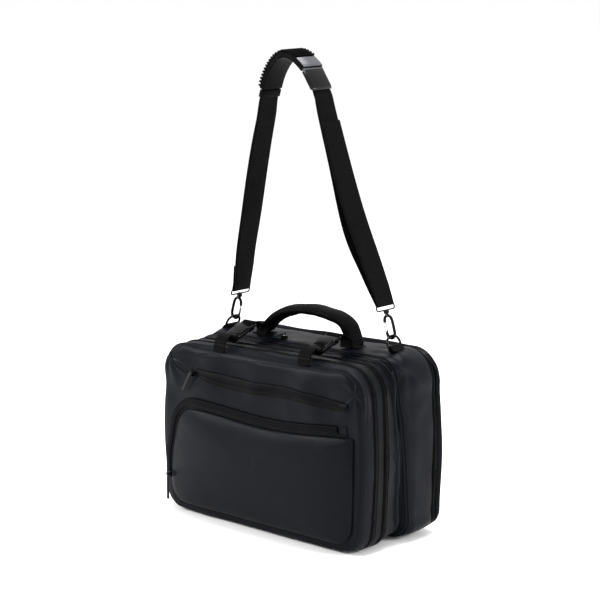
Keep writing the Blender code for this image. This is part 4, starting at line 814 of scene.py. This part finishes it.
coil_row("lower_coil_looks", [on_face(offset(POCKET_ARCH, away), 0.0008) for away in (0.0019, 0.0041)],
         0.0018, (0.0012, 0.0020, 0.0014), ["lower_zip_coil"])
lower_tape = flap_mesh("lower_tape", offset(POCKET_ARCH, 0.0005), offset(POCKET_ARCH, 0.0056),
                       [(0.0, 0.0002), (0.02, 0.0007), (0.98, 0.0007), (1.0, 0.0002)])
finish_piece("lower_tape_looks", lower_tape, "tape", "bag")
PATCH_EDGE = POCKET_RIGHT - 0.026
FLAP_START = 0.0054
flap_line = [p for p in POCKET_ARCH if p[0] < PATCH_EDGE]
patch_line = [p for p in POCKET_ARCH if p[0] >= PATCH_EDGE - 0.0005]
BAND = [(0.0, 0.0012), (-0.01, 0.0026), (0.06, 0.0032), (0.5, 0.0034), (0.92, 0.0030), (1.0, 0.0010),
        (0.9, 0.0002), (0.1, 0.0004)]
lower_flap = flap_mesh("lower_flap", offset(flap_line, FLAP_START), offset(flap_line, 0.0184), BAND)
finish_piece("lower_flap_looks", lower_flap, "flap", "bag", ["lower_zip_flap"])
end_patch = flap_mesh("end_patch", offset(patch_line, FLAP_START), offset(patch_line, 0.0180),
                      [(0.0, 0.0004), (0.02, 0.0014), (0.98, 0.0014), (1.0, 0.0004)])
finish_piece("end_patch_looks", end_patch, "front", "bag", ["flap_end_patch"])
corner_seam = flat_line([(-0.206, 0.272), (-0.200, 0.262), (-0.189, 0.252), (-0.169, 0.246),
                         (-0.151, 0.2505)])
finish_piece("corner_seam_looks", tube_mesh("corner_seam", on_face(corner_seam, 0.0002), 0.0007),
             "binding", "bag")
stitches("corner_seam_stitches", on_face(lowered(corner_seam, 0.0028), 0.0003))
stitches("flap_stitches_low", on_face(offset(flap_line, 0.0072), 0.0033))
stitches("flap_stitches_high", on_face(offset(flap_line, 0.0166), 0.0033))
stitches("upper_stitches", on_face(lowered(flap_top[4:-4], 0.0022), 0.0022))


# Webbing, handle and shoulder strap

def handle_relief(place, normal):
    """Soft creases of the padded grip, which broadens towards its feet."""
    middle = swell(place.x, 0.090)
    limb = ramp(abs(place.x), 0.020, 0.060)
    heart = Vector((-place.x, 0.0, 0.322 - place.z)).normalized()
    inward = heart * max(0.0, normal.dot(heart)) * 0.0120 * limb
    width = Vector((0.0, (place.y - 0.024) * 0.28, 0.0))
    push = 0.0020 * middle + 0.0003 * math.sin(place.x * 120.0) + 0.0006 * wrinkle(place, 0.03, 61.0)
    return inward + width + normal * push


def wider(place, normal):
    """The shoulder webbing's soft edges, and the slight bow and turn of its legs."""
    share = ramp(place.z, 0.735, -0.010) * ramp(place.z, 0.385, 0.030)
    way = ramp(place.z, 0.385, 0.330)
    bow = math.sin(math.pi * way) ** 0.8
    spread = math.copysign(min(1.0, abs(normal.y) * 1.5), normal.y) * 0.0022 * share
    turn = (place.y - 0.014) * 0.16 * bow
    return Vector((turn - 0.0075 * bow, spread, 0.0))


def stouter(amount):
    """Grows a thin rod's looks evenly."""
    return lambda place, normal: normal * amount


grip = dressed("handle_grip", "webbing_x", 3, crease_angle=75, relief=handle_relief)
for side in ("left", "right"):
    dressed(side + "_handle_foot", "webbing_x", 2, crease_angle=60)
    dressed(side + "_ring_tab", "webbing_x", 3, crease_angle=60)
    dressed(side + "_strap_front", "webbing_y", 3, crease_angle=60)
    dressed(side + "_strap_rear", "webbing_y", 3, crease_angle=60)
    dressed(side + "_strap_leg", "webbing_z", 3, crease_angle=60, relief=wider)
    dressed(side + "_buckle_body", "plastic", 0, crease_angle=25, bevel=0.0011, flat_limit=4)
    dressed(side + "_buckle_prongs", "plastic", 0, crease_angle=25, bevel=0.0010, flat_limit=4)
    dressed(side + "_pad_collar", "plastic" if side == "right" else "pad", 0, crease_angle=25,
            bevel=0.0012, flat_limit=4)
    dressed(side + "_d_ring", "black_metal", 2, crease_angle=80, relief=stouter(0.0004))
    dressed(side + "_hook", "black_metal", 2, crease_angle=75, relief=stouter(0.0005))
    dressed(side + "_strap_loop", "black_metal", 1, crease_angle=60)
    dressed(side + "_gate", "bright_metal", 1, crease_angle=60)
pad = dressed("shoulder_pad", "pad", 0, crease_angle=40, bevel=0.0007, flat_limit=3, shade=30)


# Middle of the arch that the pad and its buckle lie on
ARCH_HEART = Vector((-0.004, 0.0, -0.062))
EVEN_REACH = 9


def evened(profile):
    """A profile with its ribs averaged away."""
    even = []
    for index in range(len(profile)):
        near = profile[max(0, index - EVEN_REACH):index + EVEN_REACH + 1]
        middle = sum((p[0] for p in near), Vector()) / len(near)
        even.append((middle, sum(p[1] for p in near) / len(near), sum(p[2] for p in near) / len(near)))
    even[0] = profile[0]
    even[-1] = profile[-1]
    return even


def outline_over(mesh, first, last, count):
    """Outer profile of a mesh on the arch: middle point and side edges for each of count angles."""
    tree = tree_of([mesh])
    profile = []
    for angle in np.radians(np.linspace(first, last, count)):
        out = Vector((math.cos(angle), 0.0, math.sin(angle)))
        hits = []
        for y in np.arange(-0.031, 0.0315, 0.001):
            hit = tree.ray_cast(ARCH_HEART + Vector((0.0, y, 0.0)) + out * 0.16, -out)[0]
            if hit is not None and (hit - ARCH_HEART).length > 0.02:
                hits.append(hit)
        if len(hits) < 20:
            continue
        low = min(h.y for h in hits)
        high = max(h.y for h in hits)
        inner = [h for h in hits if low + 0.004 < h.y < high - 0.004]
        middle = sum(inner, Vector()) / len(inner)
        middle.y = (low + high) / 2
        profile.append((middle, low, high))
    return evened(profile)


def profile_frames(profile):
    """A station each millimetre of a profile: place, direction, outward direction, low and high edge."""
    line = [p[0] for p in profile]
    even, along = resampled(line, 0.001)
    places = np.array([tuple(p) for p in line])
    frames = []
    for point, direction in zip(even, along):
        low, high = profile[nearest_to(places, point)][1:]
        flat = Vector((direction.x, 0.0, direction.z)).normalized()
        out = Vector((-flat.z, 0.0, flat.x))
        if out.dot(point - ARCH_HEART) < 0:
            out = -out
        frames.append((point, flat, out, low, high))
    return frames


RIB_SECTION = [(-0.0018, -0.0050), (-0.0017, 0.0008), (-0.0010, 0.0030), (0.0, 0.0036), (0.0010, 0.0030),
               (0.0017, 0.0008), (0.0018, -0.0050)]


def ribs_mesh(name, frames, section, over, lift):
    """Rounded bars across a strap, one at each station."""
    points = []
    faces = []
    for point, along, out, low, high in frames:
        start = len(points)
        ends = [(low - over, 0.75), (low - over + 0.0012, 1.0),
                (high + over - 0.0012, 1.0), (high + over, 0.75)]
        for y, size in ends:
            middle = Vector((point.x, y, point.z)) + out * lift
            points.extend(middle + along * a * size + out * h * size for a, h in section)
        faces.extend(loft_faces(len(ends), len(section), start=start))
    return smoothed(turned_outward(from_parts(name, points, faces)), 50)


def plate_mesh(name, frames, lift, thickness, over):
    """A smooth curved plate over a stretch of the strap."""
    points = []
    for point, along, out, low, high in frames:
        for y, height in ((low - over, lift), (low - over + 0.002, lift + thickness),
                          (high + over - 0.002, lift + thickness), (high + over, lift)):
            points.append(Vector((point.x, y, point.z)) + out * height)
    mesh = from_parts(name, points, loft_faces(len(frames), 4))
    return smoothed(turned_outward(mesh, bevel=0.0004), 50)


stations = profile_frames(outline_over(pad.data, 200, 5, 240))
PLATE_REACH = 22
rib_rows = ribs_mesh("pad_rib_rows", stations[8:-PLATE_REACH - 2:6], RIB_SECTION, 0.0012, 0.0014)
finish_piece("pad_ribs", rib_rows, "pad", "bag")
plate = plate_mesh("pad_plate_form", stations[-PLATE_REACH:], 0.0006, 0.0016, 0.0006)
finish_piece("pad_plate", plate, "plate", "bag")
collar_data = bpy.data.objects["right_pad_collar_looks"].data
collar_stations = profile_frames(outline_over(collar_data, 70, -8, 200))
BAR_SECTION = [(-0.0026, -0.0005), (-0.0023, 0.0012), (-0.0012, 0.0024), (0.0, 0.0027), (0.0012, 0.0024),
               (0.0023, 0.0012), (0.0026, -0.0005)]
upper_bar = ribs_mesh("upper_bar", collar_stations[3:4], BAR_SECTION, 0.0014, 0.0018)
finish_piece("pad_buckle_upper_bar", upper_bar, "plate", "bag")
lower_bar = ribs_mesh("lower_bar", collar_stations[-4:-3], BAR_SECTION, 0.0014, 0.0012)
finish_piece("pad_buckle_lower_bar", lower_bar, "plastic", "bag")


def puller_relief(place, normal):
    """Widens the top puller towards its free end, as a trapezoid."""
    share = ramp(place.y, 0.008, -0.018)
    return Vector(((place.x + 0.048) * 1.3 * share, 0.0, 0.0))


for word in ("upper", "pocket", "front", "top"):
    dressed(word + "_zip_slider", "black_metal", 0, crease_angle=30, bevel=0.0004,
            flat_limit=4)
    dressed(word + "_zip_pull", "puller" if word == "top" else "black_metal", 0,
            crease_angle=30, bevel=0.0003, flat_limit=4, relief=puller_relief if word == "top" else None)


# Floor, light and camera

FLOOR_REACH = 40
floor_corners = [(x * FLOOR_REACH, y * FLOOR_REACH, FLOOR_Z)
                 for x, y in ((-1, -1), (1, -1), (1, 1), (-1, 1))]
floor_mesh = from_parts("floor", floor_corners, [(0, 1, 2, 3)])
floor = linked("floor", floor_mesh)
floor_look = bpy.data.materials.new("studio_floor")
floor_look.use_nodes = True
floor_shader = floor_look.node_tree.nodes["Principled BSDF"]
floor_shader.inputs["Base Color"].default_value = (0.97, 0.97, 0.97, 1.0)
floor_shader.inputs["Roughness"].default_value = 0.8
floor_shader.inputs["Specular IOR Level"].default_value = 0.1
floor_mesh.materials.append(floor_look)

world = bpy.data.worlds.new("studio")
bpy.context.scene.world = world
world.use_nodes = True
world.node_tree.nodes["Background"].inputs["Color"].default_value = (1.0, 1.0, 1.0, 1.0)
world.node_tree.nodes["Background"].inputs["Strength"].default_value = 1.03
bpy.context.scene.view_settings.view_transform = "Standard"


LIGHT_TARGET = Vector((0.016, 0.0, -0.55))


def soft_light(name, place, size, power):
    """A square soft box that looks at the bag."""
    data = bpy.data.lights.new(name, "AREA")
    data.shape = "SQUARE"
    data.size = size
    data.energy = power
    lamp = linked(name, data)
    lamp.location = place
    lamp.rotation_euler = (LIGHT_TARGET - Vector(place)).to_track_quat("-Z", "Y").to_euler()


soft_light("top_box", (0.2, 0.3, 1.5), 0.9, 60.0)
soft_light("left_box", (-2.0, -1.8, 0.7), 0.8, 70.0)
soft_light("right_box", (2.5, 0.9, 0.6), 0.8, 46.0)

camera_data = bpy.data.cameras.new("photo_camera")
camera_data.lens = PHOTO_LENS
camera_data.sensor_width = 36.0
camera = linked("photo_camera", camera_data)
backwards = Vector((math.sin(PHOTO_AZIMUTH) * math.cos(PHOTO_PITCH),
                    -math.cos(PHOTO_AZIMUTH) * math.cos(PHOTO_PITCH), math.sin(PHOTO_PITCH)))
camera.location = PHOTO_TARGET + backwards * PHOTO_DISTANCE
camera.rotation_euler = (-backwards).to_track_quat("-Z", "Y").to_euler()
bpy.context.scene.camera = camera
